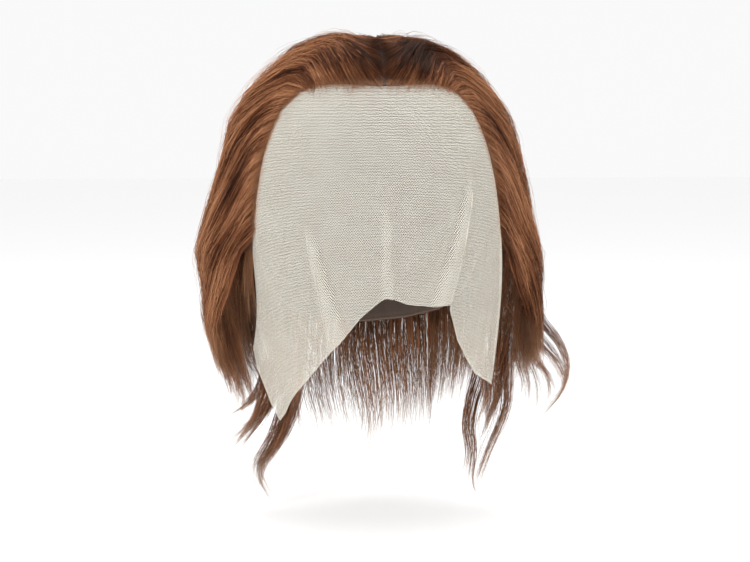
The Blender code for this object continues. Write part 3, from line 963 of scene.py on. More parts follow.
@dataclass(frozen=True)
class HairFinish:
    """Auburn hair: tan at the tip, with lighter and darker locks and strands; its darkest colour, named root,
    also shows the painted shade.
    """

    name: str
    tones: bpy.types.NodeTree
    # The darkest colour: darker locks and painted shade, not tied to the roots
    root: Colour = (0.020, 0.008, 0.005)
    body: Colour = (0.158, 0.049, 0.020)
    light: Colour = (0.470, 0.220, 0.108)
    tip: Colour = (0.440, 0.240, 0.135)
    roughness: float = 0.42
    streaks: float = 0.0

    def material(self) -> Material:
        """Make the material.

        Returns:
            The material.
        """
        bench = MaterialBench(self.name, self.roughness)
        along, strand, lock = bench.shades()
        broad = bench.noise(bench.coordinates("Object"), 28.0, 2.0)
        lock = bench.math("ADD", lock, bench.span(broad, 0.3, 0.7, -0.12, 0.12))
        if self.streaks > 0.0:
            drawn = bench.vector("MULTIPLY", bench.coordinates("UV"), (1.0, 0.03, 1.0))
            fine = bench.noise(drawn, 900.0, 2.0)
            strand = bench.span(fine, 0.35, 0.65)
            worn = bench.span(along, 0.5, 0.8, 0.22, 0.78)
            bench.put(bench.shader["Alpha"], bench.span(bench.math("SUBTRACT", fine, worn), -0.03, 0.03))
            bench.relief(fine, self.streaks, 0.5)
        colours = {name.title(): (*getattr(self, name), 1.0) for name in ("root", "body", "light", "tip")}
        toned = bench.group(self.tones, Along=along, Strand=strand, Lock=lock, **colours)
        bench.put(bench.shader["Base Color"], toned["Color"])
        bench.put(bench.shader["Specular IOR Level"], 0.2)
        bench.put(bench.shader["Specular Tint"], (1.0, 0.72, 0.5, 1.0))
        return bench.material


@dataclass(frozen=True)
class NetFinish:
    """A net of fine thread, see-through between its threads where it is sheer; where it is not, the cells
    between the threads are painted dark as shade.
    """

    name: str
    net: bpy.types.NodeTree
    thread: Colour
    shade: Colour
    cell: float
    thickness: float
    sheer: bool
    roughness: float = 0.75
    crowding: float = 1.6

    def material(self) -> Material:
        """Make the material.

        Returns:
            The material.
        """
        bench = MaterialBench(self.name, self.roughness)
        flat = bench.coordinates("UV")
        place = bench.vector("MULTIPLY", flat, (1.0 / (self.cell * MM),) * 3)
        thread: object = self.thickness
        if self.sheer:
            shift = bench.add("TexNoise", noise_dimensions="2D")
            bench.put(shift.inputs["Vector"], flat)
            bench.put(shift.inputs["Scale"], 260.0)
            shifted = bench.vector("MULTIPLY", shift.outputs["Color"], (0.9, 0.9, 0.0))
            place = bench.vector("ADD", place, shifted)
            thread = bench.span(bench.shades()[0], 0.0, 1.0, self.thickness, self.crowding * self.thickness)
        net = bench.group(self.net, Place=place, Thread=thread)["Thread"]
        tone = bench.mix(bench.span(bench.noise(flat, 60.0), 0.3, 0.7), self.shade, self.thread)
        if self.sheer:
            bench.put(bench.shader["Alpha"], net)
        else:
            # Painted shade in the cells between the threads of the opaque net
            tone = bench.mix(net, tuple(0.35 * value for value in self.shade), tone)
        bench.put(bench.shader["Base Color"], tone)
        bench.relief(net, 0.25, 0.2)
        return bench.material


@dataclass(frozen=True)
class TapeFinish:
    """Woven tape or binding."""

    name: str
    colour: Colour
    roughness: float = 0.8

    def material(self) -> Material:
        """Make the material.

        Returns:
            The material.
        """
        bench = MaterialBench(self.name, self.roughness)
        weave = bench.noise(bench.coordinates("Object"), 1400.0, 1.0)
        pale = tuple(min(1.0, 1.35 * value) for value in self.colour)
        bench.put(bench.shader["Base Color"], bench.mix(bench.span(weave, 0.35, 0.65), self.colour, pale))
        bench.relief(weave, 0.6, 0.15)
        return bench.material


@dataclass(frozen=True)
class Bundle:
    """How bundles of one size differ: tint, rise in millimetres, length, and pull to their middle."""

    tint: float
    rise: float
    shortest: float
    longest: float
    pull: float


@dataclass(frozen=True)
class HairMass:
    """One mass of hair: an under layer and the strands that lie over it. Lengths are in millimetres."""

    node: str
    flow: HairFlow
    seed: int
    strands: int
    flyaways: int
    points: int = 12
    tufts: int = 46
    threads: int = 260
    width: float = 0.17
    layer: float = 4.2
    wave: float = 2.8
    wave_length: float = 82.0
    under_rows: int = 48
    under_end: float = 0.8
    under_depth: float = 3.6
    under_wall: float = 1.2
    # Lock tint of the under layer, lower than the strands' as painted shade
    under_shade_tint: float = 0.5
    under_over_part: float = 2.6
    under_over_crown: float = 5.0
    flat_width: float = 150.0
    flat_length: float = 260.0
    front_share: float = 1.0
    over_crown: float = -0.8
    crown_from: float = 0.78
    root_fade: float = 12.0
    part_fade: float = 9.0
    fringe_light: float = 0.34
    tint: float = 0.63
    tuft_style: Bundle = Bundle(0.16, 1.2, -0.06, 0.05, 0.35)
    thread_style: Bundle = Bundle(0.12, 0.5, -0.06, 0.04, 0.45)
    settle: float = 50.0
    loose_share: float = 0.14
    loose_bend: float = 2.6
    bend: float = 1.2
    stray_points: int = 9
    stray_tint: float = 0.62

    def build(self, strand_finish: Material, under_finish: Material) -> None:
        """Make the pieces and dress them.

        Args:
            strand_finish: Material of the strands.
            under_finish: Material of the layer below them.
        """
        under = self.under_layer(under_finish)
        mesh = StrandMesh(self.node.replace("hair", "strands"))
        rng = np.random.default_rng(self.seed)
        self.lay_strands(mesh, rng)
        self.lay_flyaways(mesh, rng)
        top = mesh.build(strand_finish)
        for piece in (top, under):
            dress(piece)
        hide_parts(self.node)

    def under_layer(self, finish: Material) -> Object:
        """The dense hair below the strands, as a thin shell whose darker tint is painted shade.

        Args:
            finish: Its material.

        Returns:
            The object.
        """
        rows = np.linspace(0.03, 1.0, self.under_rows) ** 1.3
        columns = np.linspace(-0.01, 1.01, self.flow.locks * 6 + 1)
        along, across = np.meshgrid(rows, columns, indexing="ij")
        along = along * (self.under_end - 0.02 * np.sin(across * 37.0) - 0.015 * np.sin(across * 91.0))
        angle, polar, high, gone = self.flow.top(across, along)
        angle, polar = toward_lace(angle, polar, 0.0, 0.8 * self.in_front(across, gone))
        depth = self.under_depth * ease(gone / 30.0) + 1.0
        rooted = self.flow.root_lift(across) - 1.2
        standoff = rooted + (high - depth - rooted) * ease((gone - 2.0) / 18.0)
        points = HEAD.point(angle, polar, standoff)
        points[..., 0] += self.under_over_part * self.over_part(across, gone)
        points[..., 1] -= self.under_over_crown * self.crown_lean(across, gone)
        ups = HEAD.normal(angle, polar)
        lifted, sideways = self.swings(gone, across)
        side = across_of(points, ups, axis=0)
        points = points + ups * lifted[..., None] + side * sideways[..., None]
        flat = np.stack((across * self.flat_width, along * self.flat_length), axis=-1)
        # The lower lock tint is painted shade of the hair below the strands; the spots add their painted
        # light and shade
        lock = self.under_shade_tint + 0.1 * np.sin(across * 61.0) + self.tone(points, across, gone)
        shades = np.stack((along * 0.8 / self.under_end, np.full_like(along, 0.4), lock), axis=-1)
        name = self.node.replace("hair", "under")
        layer = link(name, sheet_mesh(name, points, flat, shades))
        layer.data.materials.append(finish)
        add_wall(layer, self.under_wall, 1.0 if self.flow.mirrored else -1.0)
        return layer

    def in_front(self, across: Array, gone: Array) -> Array:
        """Shares of hair at the front hairline: 1 there, 0 elsewhere and far from the root."""
        return ease((self.front_share - across) / 0.03) * np.exp(-gone / self.root_fade)

    def swings(self, gone: Array, across: Array, phase: Array | float = 0.0) -> tuple[Array, Array]:
        """The hair's long waves.

        Args:
            gone: Distance from the root.
            across: Places across the mass.
            phase: Where each lock is in its wave.

        Returns:
            Offsets outward and to the side in millimetres.
        """
        travel = math.tau * (gone / self.wave_length + across * 1.2 + phase)
        swing = self.wave * ease((gone - 40.0) / 90.0)
        return swing * np.sin(travel), 1.2 * swing * np.cos(0.8 * travel)

    def over_part(self, across: Array, gone: Array) -> Array:
        """How far hair from the part leans over it, signed by the side that it leans to."""
        parted = ease((across - self.flow.part_from + 0.08) / 0.05) * np.exp(-gone / self.part_fade)
        return parted * (-1.0 if self.flow.mirrored else 1.0)

    def crown_lean(self, across: Array, gone: Array) -> Array:
        """How far hair from the crown leans over it, above zero where it leans forward."""
        return self.over_crown * ease((across - self.crown_from) / 0.1) * np.exp(-gone / self.root_fade)

    def tone(self, points: Array, across: Array, gone: Array) -> Array:
        """Shifts of the lock's tint: lighter along the front hairline, and the painted light and shade of the
        spots.
        """
        fringe = self.fringe_light * np.exp(-gone / self.part_fade) * ease((self.front_share - across) / 0.03)
        return painted_light_shift(points) + fringe

    def gather(self, across: Array, groups: int, rng: np.random.Generator) -> tuple[Array, Array]:
        """Sort strands into groups across the mass.

        Args:
            across: Where the strands start.
            groups: How many groups there are.
            rng: Random numbers.

        Returns:
            The group of each strand, and the middle of its group.
        """
        middles = (np.arange(groups) + 0.5 + rng.uniform(-0.3, 0.3, groups)) / groups
        edges = 0.5 * (middles[1:] + middles[:-1])
        member = np.searchsorted(edges, across)
        return member, middles[member]

    def lay_strands(self, mesh: StrandMesh, rng: np.random.Generator) -> None:
        """Lay the strands along the flow, gathered in tufts and threads.

        Args:
            mesh: Where they are added.
            rng: Random numbers.
        """
        count = self.strands
        start = rng.uniform(-0.015, 1.015, count)
        tuft, tuft_middle = self.gather(start, self.tufts, rng)
        thread, thread_middle = self.gather(start, self.threads, rng)
        # What the strands of a tuft and of a thread share
        large, small = self.tuft_style, self.thread_style
        tuft_tint = rng.normal(self.tint, large.tint, self.tufts)
        tuft_rise = rng.normal(0.0, large.rise, self.tufts)
        tuft_end = rng.uniform(large.shortest, large.longest, self.tufts)
        tuft_phase = rng.normal(0.0, 0.5, self.tufts)
        thread_tint = rng.normal(0.0, small.tint, self.threads)
        thread_end = rng.uniform(small.shortest, small.longest, self.threads)
        thread_rise = rng.normal(0.0, small.rise, self.threads)
        # Where each strand starts and ends: three in ten start later, the outer ones of a tuft end sooner
        late = rng.uniform(0.0, 1.0, count)
        root = np.where(late < 0.7, rng.uniform(0.0, 0.012, count), rng.uniform(0.0, 0.4, count))
        apart = np.abs(start - tuft_middle) * self.tufts * 2.0
        end = 1.0 + tuft_end[tuft] + thread_end[thread] - 0.05 * np.minimum(apart, 1.4) ** 2
        end = end - rng.exponential(0.06, count) + rng.exponential(0.02, count)
        # Its line across the mass, pulled to the middle of its tuft and thread toward the end
        share = np.linspace(0.0, 1.0, self.points)[None, :]
        along = root[:, None] + (end - root)[:, None] * share
        pulled = ease((along - 0.12) / 0.9)
        across = start[:, None] + (tuft_middle - start)[:, None] * large.pull * pulled
        across = across + (thread_middle - start)[:, None] * small.pull * pulled
        across = across + rng.normal(0.0, 0.02, count)[:, None] * share
        angle, polar, high, gone = self.flow.top(across, along)
        front = self.in_front(start[:, None], gone)
        angle, polar = toward_lace(angle, polar, rng.exponential(1.5, count)[:, None] * front, front)
        # How far it stands off the head, up from the lace at its root
        inner = draw(rng, 0.0, 1.0, count) ** 1.2
        rounded = 1.1 * np.minimum(apart, 1.5)[:, None] ** 2 * pulled
        standoff = high - self.layer * inner * ease(gone / 40.0) - rounded
        standoff = standoff + (tuft_rise[tuft] + thread_rise[thread])[:, None] * ease(gone / self.settle)
        standoff = np.maximum(standoff, self.flow.standoff - 1.2)
        rooted = self.flow.root_lift(start)[:, None] + 0.4 * inner
        standoff = rooted + (standoff - rooted) * ease((gone + 1.0) / 12.0)
        paths = HEAD.point(angle, polar, standoff)
        paths[..., 0] += draw(rng, -0.5, 3.5, count) * self.over_part(start[:, None], gone)
        paths[..., 1] -= draw(rng, 1.0, 9.0, count) * self.crown_lean(start[:, None], gone)
        ups = HEAD.normal(angle, polar)
        # Waves and bends
        lifted, sideways = self.swings(gone, start[:, None], 0.2 * tuft_phase[tuft][:, None])
        side = across_of(paths, ups)
        paths = paths + ups * lifted[..., None] + side * sideways[..., None]
        loose = np.where(rng.uniform(0.0, 1.0, count) < self.loose_share, self.loose_bend, 1.0)[:, None, None]
        paths = paths + loose * self.wander(rng, side, ups) * ease(gone / self.settle)[..., None]
        # Thickness and tints; strands deeper in the layer get a lower lock tint as painted shade, and the
        # spots add painted light and shade
        width = self.width * draw(rng, 0.7, 1.3, count)
        radii = width * np.minimum(1.0, 0.5 + share * 5.0) * (1.0 - 0.8 * share**4)
        tint = draw(rng, 0.0, 1.0, count) + 0.0 * share
        lock_tint = (tuft_tint[tuft] + thread_tint[thread])[:, None] - 0.2 * inner
        lock_tint = np.clip(lock_tint + self.tone(paths, start[:, None], gone), 0.0, 1.0)
        shades = np.stack((along, tint, lock_tint), axis=-1)
        mesh.add(paths, ups, radii, shades)

    def wander(self, rng: np.random.Generator, side: Array, ups: Array) -> Array:
        """Small bends that each strand has of its own.

        Args:
            rng: Random numbers.
            side: Directions across the strands.
            ups: Directions out from the head.

        Returns:
            Offsets for the paths.
        """
        count, length = side.shape[:2]
        share = np.linspace(0.0, 1.0, length)[None, :]
        phase = rng.uniform(0.0, math.tau, (2, count, 1))
        speed = rng.uniform(1.0, 2.6, (2, count, 1))
        reach = self.bend * rng.uniform(0.2, 1.6, (2, count, 1))
        swings = reach * np.sin(phase + math.tau * speed * share)
        return side * swings[0][..., None] + ups * (0.6 * swings[1])[..., None]

    def lay_flyaways(self, mesh: StrandMesh, rng: np.random.Generator) -> None:
        """Lay fine stray hairs that lift off the surface.

        Args:
            mesh: Where they are added.
            rng: Random numbers.
        """
        count = self.flyaways
        share = np.linspace(0.0, 1.0, self.stray_points)[None, :]
        first = draw(rng, 0.02, 0.85, count)
        reach = draw(rng, 0.1, 0.3, count)
        across = draw(rng, 0.01, 0.99, count) + rng.normal(0.0, 0.03, count)[:, None] * share
        along = first + reach * share
        angle, polar, high, gone = self.flow.top(across, along)
        height = draw(rng, 1.0, 6.5, count)
        lift = height * np.sin(math.pi * share * draw(rng, 0.5, 0.95, count))
        standoff = high - 1.5 + lift * ease(gone / 25.0)
        paths = HEAD.point(angle, polar, standoff)
        ups = HEAD.normal(angle, polar)
        paths = paths + self.wander(rng, across_of(paths, ups), ups) * share[..., None]
        radii = draw(rng, 0.07, 0.12, count) * (1.0 - 0.7 * share**3)
        tint = draw(rng, 0.4, 1.0, count) + 0.0 * share
        # The spots' painted light and shade reach the flyaways too
        lock_tint = np.clip(self.stray_tint + painted_light_shift(paths), 0.0, 1.0)
        shades = np.stack((np.maximum(along, 0.6), tint * lock_tint / self.stray_tint, lock_tint), axis=-1)
        mesh.add(paths, ups, radii, shades)


@dataclass(frozen=True)
class LooseLocks:
    """Thin curved locks that leave the ends of the hair."""

    rows: tuple[LooseLock, ...] = LOOSE_LOCKS
    points: int = 12
    width: float = 0.14
    seed: int = 71
    group_size: int = 26
    stray_share: float = 0.22
    bend: float = 0.6
    tint: float = 0.58

    def build(self, finish: Material) -> None:
        """Make the locks and dress them.

        Args:
            finish: Their material.
        """
        rng = np.random.default_rng(self.seed)
        mesh = StrandMesh("loose_locks")
        for row in self.rows:
            self.lay(mesh, rng, row)
        dress(mesh.build(finish))

    def lay(self, mesh: StrandMesh, rng: np.random.Generator, row: LooseLock) -> None:
        """Lay one lock as groups of strands that part and taper to its tip.

        Args:
            mesh: Where it is added.
            rng: Random numbers.
            row: Where it runs.
        """
        count, groups = row.strands, max(3, row.strands // self.group_size)
        group = rng.integers(0, groups, count)
        stray = (rng.uniform(0.0, 1.0, count) < self.stray_share)[:, None]
        first = draw(rng, -0.3, 0.1, count)
        group_reach = rng.uniform(0.72, 1.08, groups)
        reach = group_reach[group][:, None] - rng.exponential(0.1, count)[:, None]
        share = np.linspace(0.0, 1.0, self.points)[None, :]
        place = first + (reach - first) * share
        paths = self.run(row, place)
        outward = unit(paths * np.array((1.0, 1.0, 0.0)))
        side = across_of(paths, outward)
        held = np.clip(place, 0.0, 1.0)
        # The groups part round the lock's middle
        full = row.radius * (1.5 - 0.5 * ease(held * 1.2) - 0.3 * np.minimum(place, 0.0))
        group_turn = (np.arange(groups) * 2.4 + rng.uniform(0.0, 0.8, groups))[group][:, None]
        group_out = full * rng.uniform(0.35, 1.0, groups)[group][:, None]
        over, out = rng.normal(0.0, 0.8, (2, groups))[:, group][..., None] * row.radius * held**1.4
        over, out = over + group_out * np.cos(group_turn), out + 0.8 * group_out * np.sin(group_turn)
        paths = moved(paths, side, outward, over, out)
        # The strands part round the middle of their group, the stray ones more
        turn = draw(rng, 0.0, math.tau, count)
        spread = np.where(stray, 0.9 + 0.8 * held, 0.75 * (1.0 - 0.85 * ease(held)) + 0.12)
        own = row.radius * spread * draw(rng, 0.0, 1.0, count) ** 0.6
        paths = moved(paths, side, outward, own * np.cos(turn), 0.8 * own * np.sin(turn))
        # Each strand bends by itself
        phase = rng.uniform(0.0, math.tau, (2, count, 1))
        over, out = (np.sin(phase[at] + math.tau * speed * held) for at, speed in enumerate((1.4, 1.1)))
        paths = moved(paths, side, outward, self.bend * held * over, self.bend * held * out)
        radii = self.width * draw(rng, 0.6, 1.2, count) * (1.0 - 0.8 * share**3)
        tint = draw(rng, 0.0, 1.0, count) + 0.0 * share
        lock_tint = rng.normal(self.tint, 0.12, groups)[group][:, None] + 0.0 * share
        shades = np.stack((0.62 + 0.42 * held, tint, lock_tint), axis=-1)
        mesh.add(paths, outward, radii, shades)

    def run(self, row: LooseLock, place: Array) -> Array:
        """Points along a lock's route, carried on straight before its start.

        Args:
            row: The lock.
            place: Places along it, 0 at its first point and 1 at its last.

        Returns:
            Points in millimetres.
        """
        route = np.array(row.points)
        stations = np.broadcast_to(route, (*place.shape, *route.shape))
        lead = (route[1] - route[0]) * (len(route) - 1)
        return spline(stations, np.maximum(place, 0.0)) + np.minimum(place, 0.0)[..., None] * lead


@dataclass(frozen=True)
class Pleat:
    """A pleat pinched in the lace: a centre line from top to foot, its width and height."""

    top: EdgePoint
    foot: EdgePoint
    width: float
    height: float


@dataclass(frozen=True)
class LaceFront:
    """The sheer lace panel below the hairline, with its pleats, hem and side wings."""

    columns: int = 160
    rows: int = 68
    standoff: float = 0.6
    wall: float = 0.12
    seam: float = 0.6
    edge_width: float = 1.6
    pleats: tuple[Pleat, ...] = (
        Pleat(EdgePoint(-36.0, 106.0), EdgePoint(-23.0, 184.0), 17.0, 3.0),
        Pleat(EdgePoint(-1.5, 92.0), EdgePoint(0.0, 154.0), 7.5, 2.4),
        Pleat(EdgePoint(41.0, 76.0), EdgePoint(24.5, 160.0), 19.0, 3.0),
    )

    def pleat_height(self, angle: Array, drop: Array) -> Array:
        """How far the pleats raise the lace.

        Args:
            angle: Angles round the head.
            drop: Drops below the crown.

        Returns:
            Heights in millimetres.
        """
        raised = np.zeros_like(angle)
        beside = HEAD.surface(np.full_like(drop, 90.0), HEAD.polar_of(drop))
        front = HEAD.surface(np.zeros_like(drop), HEAD.polar_of(drop))
        radius = 0.5 * (beside[..., 0] - front[..., 1])
        for pleat in self.pleats:
            share = (drop - pleat.top.drop) / (pleat.foot.drop - pleat.top.drop)
            held = np.clip(share, 0.0, 1.0)
            centre = pleat.top.angle + (pleat.foot.angle - pleat.top.angle) * held
            offset = np.abs(angle - centre) * math.radians(1.0) * radius
            half = 0.5 * pleat.width * (0.35 + 0.65 * held)
            side = 1.0 - ease((offset - half * 0.55) / (half * 0.45))
            raised = np.maximum(raised, pleat.height * side * ease(share * 4.0))
        return raised

    def build(self, finish: Material) -> None:
        """Make the lace and dress it.

        Args:
            finish: Its material.
        """
        rows, columns = np.linspace(0.0, 1.0, self.rows), np.linspace(0.0, 1.0, self.columns)
        down, across = np.meshgrid(rows, columns, indexing="ij")
        step = 0.004
        ahead, behind = np.minimum(across + step, 1.0), np.maximum(across - step, 0.0)
        turn_mm = read_table(HAIRLINE, "angle", ahead) - read_table(HAIRLINE, "angle", behind)
        turn_mm = turn_mm * MM_PER_DEGREE
        drop_mm = read_table(HAIRLINE, "drop", ahead) - read_table(HAIRLINE, "drop", behind)
        length = np.hypot(turn_mm, drop_mm)
        top_angle = read_table(HAIRLINE, "angle", across) - self.seam * drop_mm / length / MM_PER_DEGREE
        top_drop = read_table(HAIRLINE, "drop", across) + self.seam * turn_mm / length
        edge = ease(1.0 - across / 0.2)
        swing = down ** (1.0 + 2.0 * edge)
        angle = top_angle + (read_table(LACE_HEM, "angle", across) - top_angle) * swing
        drop = top_drop + (read_table(LACE_HEM, "drop", across) - top_drop) * down
        raised = self.pleat_height(angle, drop)
        lift = read_table(LACE_HEM, "lift", across) * swing + raised
        points = HEAD.point(angle, HEAD.polar_of(drop), self.standoff + lift)
        flat = np.stack((angle * MM_PER_DEGREE, -drop), axis=-1)
        dense = self.density(down, across, raised)
        obj = link("lace", sheet_mesh("lace", points, flat, np.stack((dense,) * 3, axis=-1)))
        obj.data.materials.append(finish)
        add_wall(obj, self.wall, 0.0)
        dress(obj)
        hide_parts("lace_front")

    def density(self, down: Array, across: Array, raised: Array) -> Array:
        """How close the threads look: closer on the pleats and along the cut edges.

        Args:
            down: Places from the hairline to the hem, 0 to 1.
            across: Places along the hairline, 0 to 1.
            raised: How far the pleats raise the lace in millimetres.

        Returns:
            Shares from 0 to 1.
        """
        from_hem = (1.0 - down) * 150.0
        from_side = np.minimum(across, 1.0 - across) * 260.0 + (1.0 - down) * 40.0
        cut = 0.9 * ease(self.edge_width - np.minimum(from_hem, from_side))
        return np.maximum(0.4 * np.clip(raised / 2.4, 0.0, 1.0), cut)


@dataclass(frozen=True)
class WigCap:
    """The foundation: net crown and bound edges."""

    rows: int = 40
    round_steps: int = 144
    outer: float = 1.2
    wall: float = 0.5
    binding: float = 0.9

    def ring(self) -> tuple[Array, Array]:
        """The cap's closed edge.

        Returns:
            Angles and drops round it.
        """
        first = HAIRLINE[0]
        edge = (*HAIRLINE, *NAPE_EDGE, EdgePoint(first.angle + 360.0, first.drop))
        place = np.linspace(0.0, 1.0, self.round_steps + 1)
        return read_table(edge, "angle", place), read_table(edge, "drop", place)

    def build(self, net_finish: Material, tape_finish: Material) -> None:
        """Make the cap and dress it.

        Args:
            net_finish: Material of the net.
            tape_finish: Material of the binding.
        """
        angles, drops = self.ring()
        polars = HEAD.polar_of(drops)
        share = np.linspace(0.0, 1.0, self.rows)[:, None]
        angle = angles[None, :] + 0.0 * share
        polar = polars[None, :] * share
        points = HEAD.point(angle, polar, self.outer - self.wall)
        points[0] = (0.0, 0.0, self.outer - self.wall)
        reach = HEAD.drop_of(polar) + 60.0 * share
        turn = np.radians(angle)
        flat = np.stack((reach * np.sin(turn), reach * np.cos(turn)), axis=-1)
        mesh = sheet_mesh("cap", points, flat)
        bm = bmesh.new()
        bm.from_mesh(mesh)
        bmesh.ops.remove_doubles(bm, verts=bm.verts, dist=0.02 * MM)
        bmesh.ops.recalc_face_normals(bm, faces=bm.faces)
        bm.to_mesh(mesh)
        bm.free()
        cap = link("cap", mesh)
        cap.data.materials.append(net_finish)
        add_wall(cap, self.wall, 1.0)
        for piece in (cap, self.edge_binding(angles, polars, tape_finish)):
            dress(piece)
        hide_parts("wig_cap")

    def edge_binding(self, angles: Array, polars: Array, finish: Material) -> Object:
        """A narrow binding behind the ears and round the nape.

        Args:
            angles: Angles round the cap's edge.
            polars: Polars round the cap's edge.
            finish: Its material.

        Returns:
            The object.
        """
        behind = (angles > 76.0) & (angles < 276.0)
        angle, polar = angles[behind][None, :], polars[behind][None, :] - 0.6
        standoff = np.full_like(angle, self.outer - 0.5 * self.wall)
        tube = StrandMesh("cap_binding")
        paths = HEAD.point(angle, polar, standoff)
        ups = HEAD.normal(angle, polar)
        tube.add(paths, ups, np.full_like(angle, self.binding), np.zeros_like(paths), sides=8)
        return tube.build(finish)


class WispRow(NamedTuple):
    """The short hairs of one mass: its flow, how much of it starts in front, their length and share."""

    flow: HairFlow
    front: float
    reach: float
    count_share: float


@dataclass(frozen=True)
class HairlineWisps:
    """Short fine hairs along the front hairline."""

    count: int = 3600
    points: int = 4
    seed: int = 91

    def build(self, finish: Material) -> None:
        """Make the wisps and dress them.

        Args:
            finish: Their material.
        """
        rng = np.random.default_rng(self.seed)
        mesh = StrandMesh("hairline_wisps")
        for mirrored in (False, True):
            self.lay(mesh, rng, WispRow(top_flow(mirrored), TOP_FRONT, 0.034, 0.29))
            self.lay(mesh, rng, WispRow(temple_flow(mirrored), 1.0, 0.12, 0.21))
        dress(mesh.build(finish))

    def lay(self, mesh: StrandMesh, rng: np.random.Generator, row: WispRow) -> None:
        """Lay the wisps of one mass along the start of its flow.

        Args:
            mesh: Where they are added.
            rng: Random numbers.
            row: The mass that they belong to.
        """
        count = int(row.count_share * self.count)
        share = np.linspace(0.0, 1.0, self.points)[None, :]
        across = draw(rng, 0.0, row.front, count) + rng.normal(0.0, 0.01, count)[:, None] * share
        along = share * row.reach * draw(rng, 0.5, 1.6, count)
        angle, polar = row.flow.places(across, along)
        below = rng.exponential(2.1, count)[:, None] * (1.0 - 0.5 * share)
        angle, polar = toward_lace(angle, polar, below, 1.0 - 0.5 * share)
        lift = 0.75 + draw(rng, 0.4, 3.4, count) * share**1.3
        paths = HEAD.point(angle, polar, lift)
        ups = HEAD.normal(angle, polar)
        radii = draw(rng, 0.06, 0.11, count) * (1.0 - 0.6 * share)
        tint = draw(rng, 0.2, 1.0, count) + 0.0 * share
        shades = np.stack((0.4 + 0.0 * tint, tint, 0.75 + 0.0 * tint), axis=-1)
        mesh.add(paths, ups, radii, shades)


@dataclass(frozen=True)
class Studio:
    """Pale floor, soft lights and the camera. Lengths are in metres."""

    floor_level: float = -0.305
    floor_colour: Colour = (0.97, 0.97, 0.97)
    target: Point = (0.0, 0.0, -0.149)
    distance: float = 1.3
    azimuth: float = -5.0
    elevation: float = 5.0
    focal: float = 97.5
    sensor: float = 36.0

    def build(self) -> None:
        """Set the stage."""
        self.floor()
        self.light("key", (-0.75, -1.35, 0.75), 0.8, 17.0)
        self.light("fill", (0.95, -1.25, 0.35), 0.9, 8.0)
        self.light("top", (0.0, 0.1, 1.3), 1.0, 8.0)
        world = bpy.data.worlds.new("studio")
        world.use_nodes = True
        background = world.node_tree.nodes["Background"]
        background.inputs["Color"].default_value = (1.0, 1.0, 1.0, 1.0)
        background.inputs["Strength"].default_value = 0.95
        bpy.context.scene.world = world
        bpy.context.scene.view_settings.view_transform = "Standard"
        self.camera()

    def floor(self) -> None:
        """A wide level floor."""
        bm = bmesh.new()
        bmesh.ops.create_grid(bm, x_segments=2, y_segments=2, size=6.0)
        bmesh.ops.translate(bm, verts=bm.verts, vec=(0.0, 0.0, self.floor_level))
        mesh = bpy.data.meshes.new("floor")
        bm.to_mesh(mesh)
        bm.free()
        floor = link("floor", mesh)
        bench = MaterialBench("floor_paint", 0.9)
        bench.put(bench.shader["Base Color"], (*self.floor_colour, 1.0))
        mesh.materials.append(bench.material)

    def light(self, name: str, place: Point, size: float, power: float) -> None:
        """A square soft light that looks at the wig.

        Args:
            name: Its name.
            place: Where it stands.
            size: Its side in metres.
            power: Its power in watts.
        """
        lamp = bpy.data.lights.new(name, "AREA")
        lamp.size = size
        lamp.energy = power
        holder = bpy.data.objects.new(name, lamp)
        holder.location = place
        holder.rotation_euler = (Vector(self.target) - Vector(place)).to_track_quat("-Z", "Y").to_euler()
        bpy.context.scene.collection.objects.link(holder)

    def camera(self) -> None:
        """The camera at the picture's viewing angle."""
        turn, rise = math.radians(self.azimuth), math.radians(self.elevation)
        away = Vector((math.sin(turn) * math.cos(rise), -math.cos(turn) * math.cos(rise), math.sin(rise)))
        lens = bpy.data.cameras.new("camera")
        lens.lens = self.focal
        lens.sensor_width = self.sensor
        holder = bpy.data.objects.new("camera", lens)
        holder.location = Vector(self.target) + away * self.distance
        holder.rotation_euler = (-away).to_track_quat("-Z", "Y").to_euler()
        bpy.context.scene.collection.objects.link(holder)
        bpy.context.scene.camera = holder


def top_flow(mirrored: bool) -> HairFlow:
    """How the hair of one lobe lies; the lobe on the right is mirrored."""
    places, lengths = (0.0, 0.15, 0.3, 0.45), (90.0, 62.0, 40.0, 26.0)
    return HairFlow(TOP_FLOW, 9, mirrored, rise_places=places, rise_lengths=lengths, part_from=0.56)


def temple_flow(mirrored: bool) -> HairFlow:
    """How the hair of one temple lies; the temple on the right is mirrored."""
    return HairFlow(TEMPLE_FLOW, 2, mirrored, rise_lengths=(90.0, 90.0))


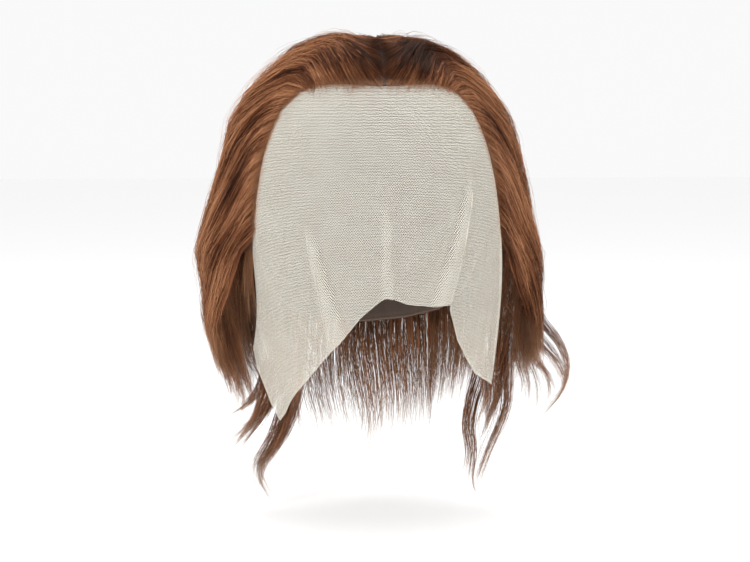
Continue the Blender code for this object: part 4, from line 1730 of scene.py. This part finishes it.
def back_flow() -> HairFlow:
    """How the hair of the back lies."""
    return HairFlow(BACK_FLOW, 9, part_from=-1.0)


def main() -> None:
    """Build every piece of the wig and the studio round it."""
    logging.basicConfig(level=logging.INFO, format="%(name)s: %(message)s")
    Studio().build()
    tone, net = hair_tone_group(), net_group()
    strand_finish = HairFinish("auburn_strands", tone).material()
    # The under hair's light colour is darker, as painted shade below the strands
    under_finish = HairFinish(
        "auburn_underhair", tone, light=(0.26, 0.11, 0.055), roughness=0.55, streaks=0.6
    ).material()
    wisp_finish = HairFinish(
        "auburn_wisps", tone, root=(0.10, 0.045, 0.025), body=(0.22, 0.105, 0.06), roughness=0.5
    ).material()
    lace_finish = NetFinish(
        "sheer_lace", net, (0.92, 0.89, 0.79), (0.86, 0.82, 0.72), cell=1.0, thickness=0.115, sheer=True
    ).material()
    cap_finish = NetFinish(
        "cap_net", net, (0.115, 0.072, 0.050), (0.085, 0.052, 0.036), cell=1.6, thickness=0.16, sheer=False
    ).material()
    tape_finish = TapeFinish("cap_tape", (0.10, 0.062, 0.045)).material()
    WigCap().build(cap_finish, tape_finish)
    LOG.info("cap")
    LaceFront().build(lace_finish)
    LOG.info("lace")
    top = {"strands": 3000, "flyaways": 400, "front_share": TOP_FRONT}
    temple = {"strands": 1150, "flyaways": 60, "points": 11, "tufts": 12, "threads": 80, "over_crown": 0.0}
    back = {"strands": 3300, "flyaways": 200, "points": 10, "under_end": 0.93, "over_crown": 1.0}
    masses = (
        HairMass("hair_top_left", top_flow(False), 11, **top),
        HairMass("hair_top_right", top_flow(True), 12, **top),
        HairMass("hair_temple_left", temple_flow(False), 13, **temple),
        HairMass("hair_temple_right", temple_flow(True), 14, **temple),
        HairMass("hair_back", back_flow(), 15, **back, front_share=-1.0, crown_from=-1.0),
    )
    for mass in masses:
        mass.build(strand_finish, under_finish)
        LOG.info(mass.node)
    LooseLocks().build(strand_finish)
    LOG.info("loose locks")
    HairlineWisps().build(wisp_finish)
    LOG.info("hairline wisps")


if __name__ == "__main__":
    main()
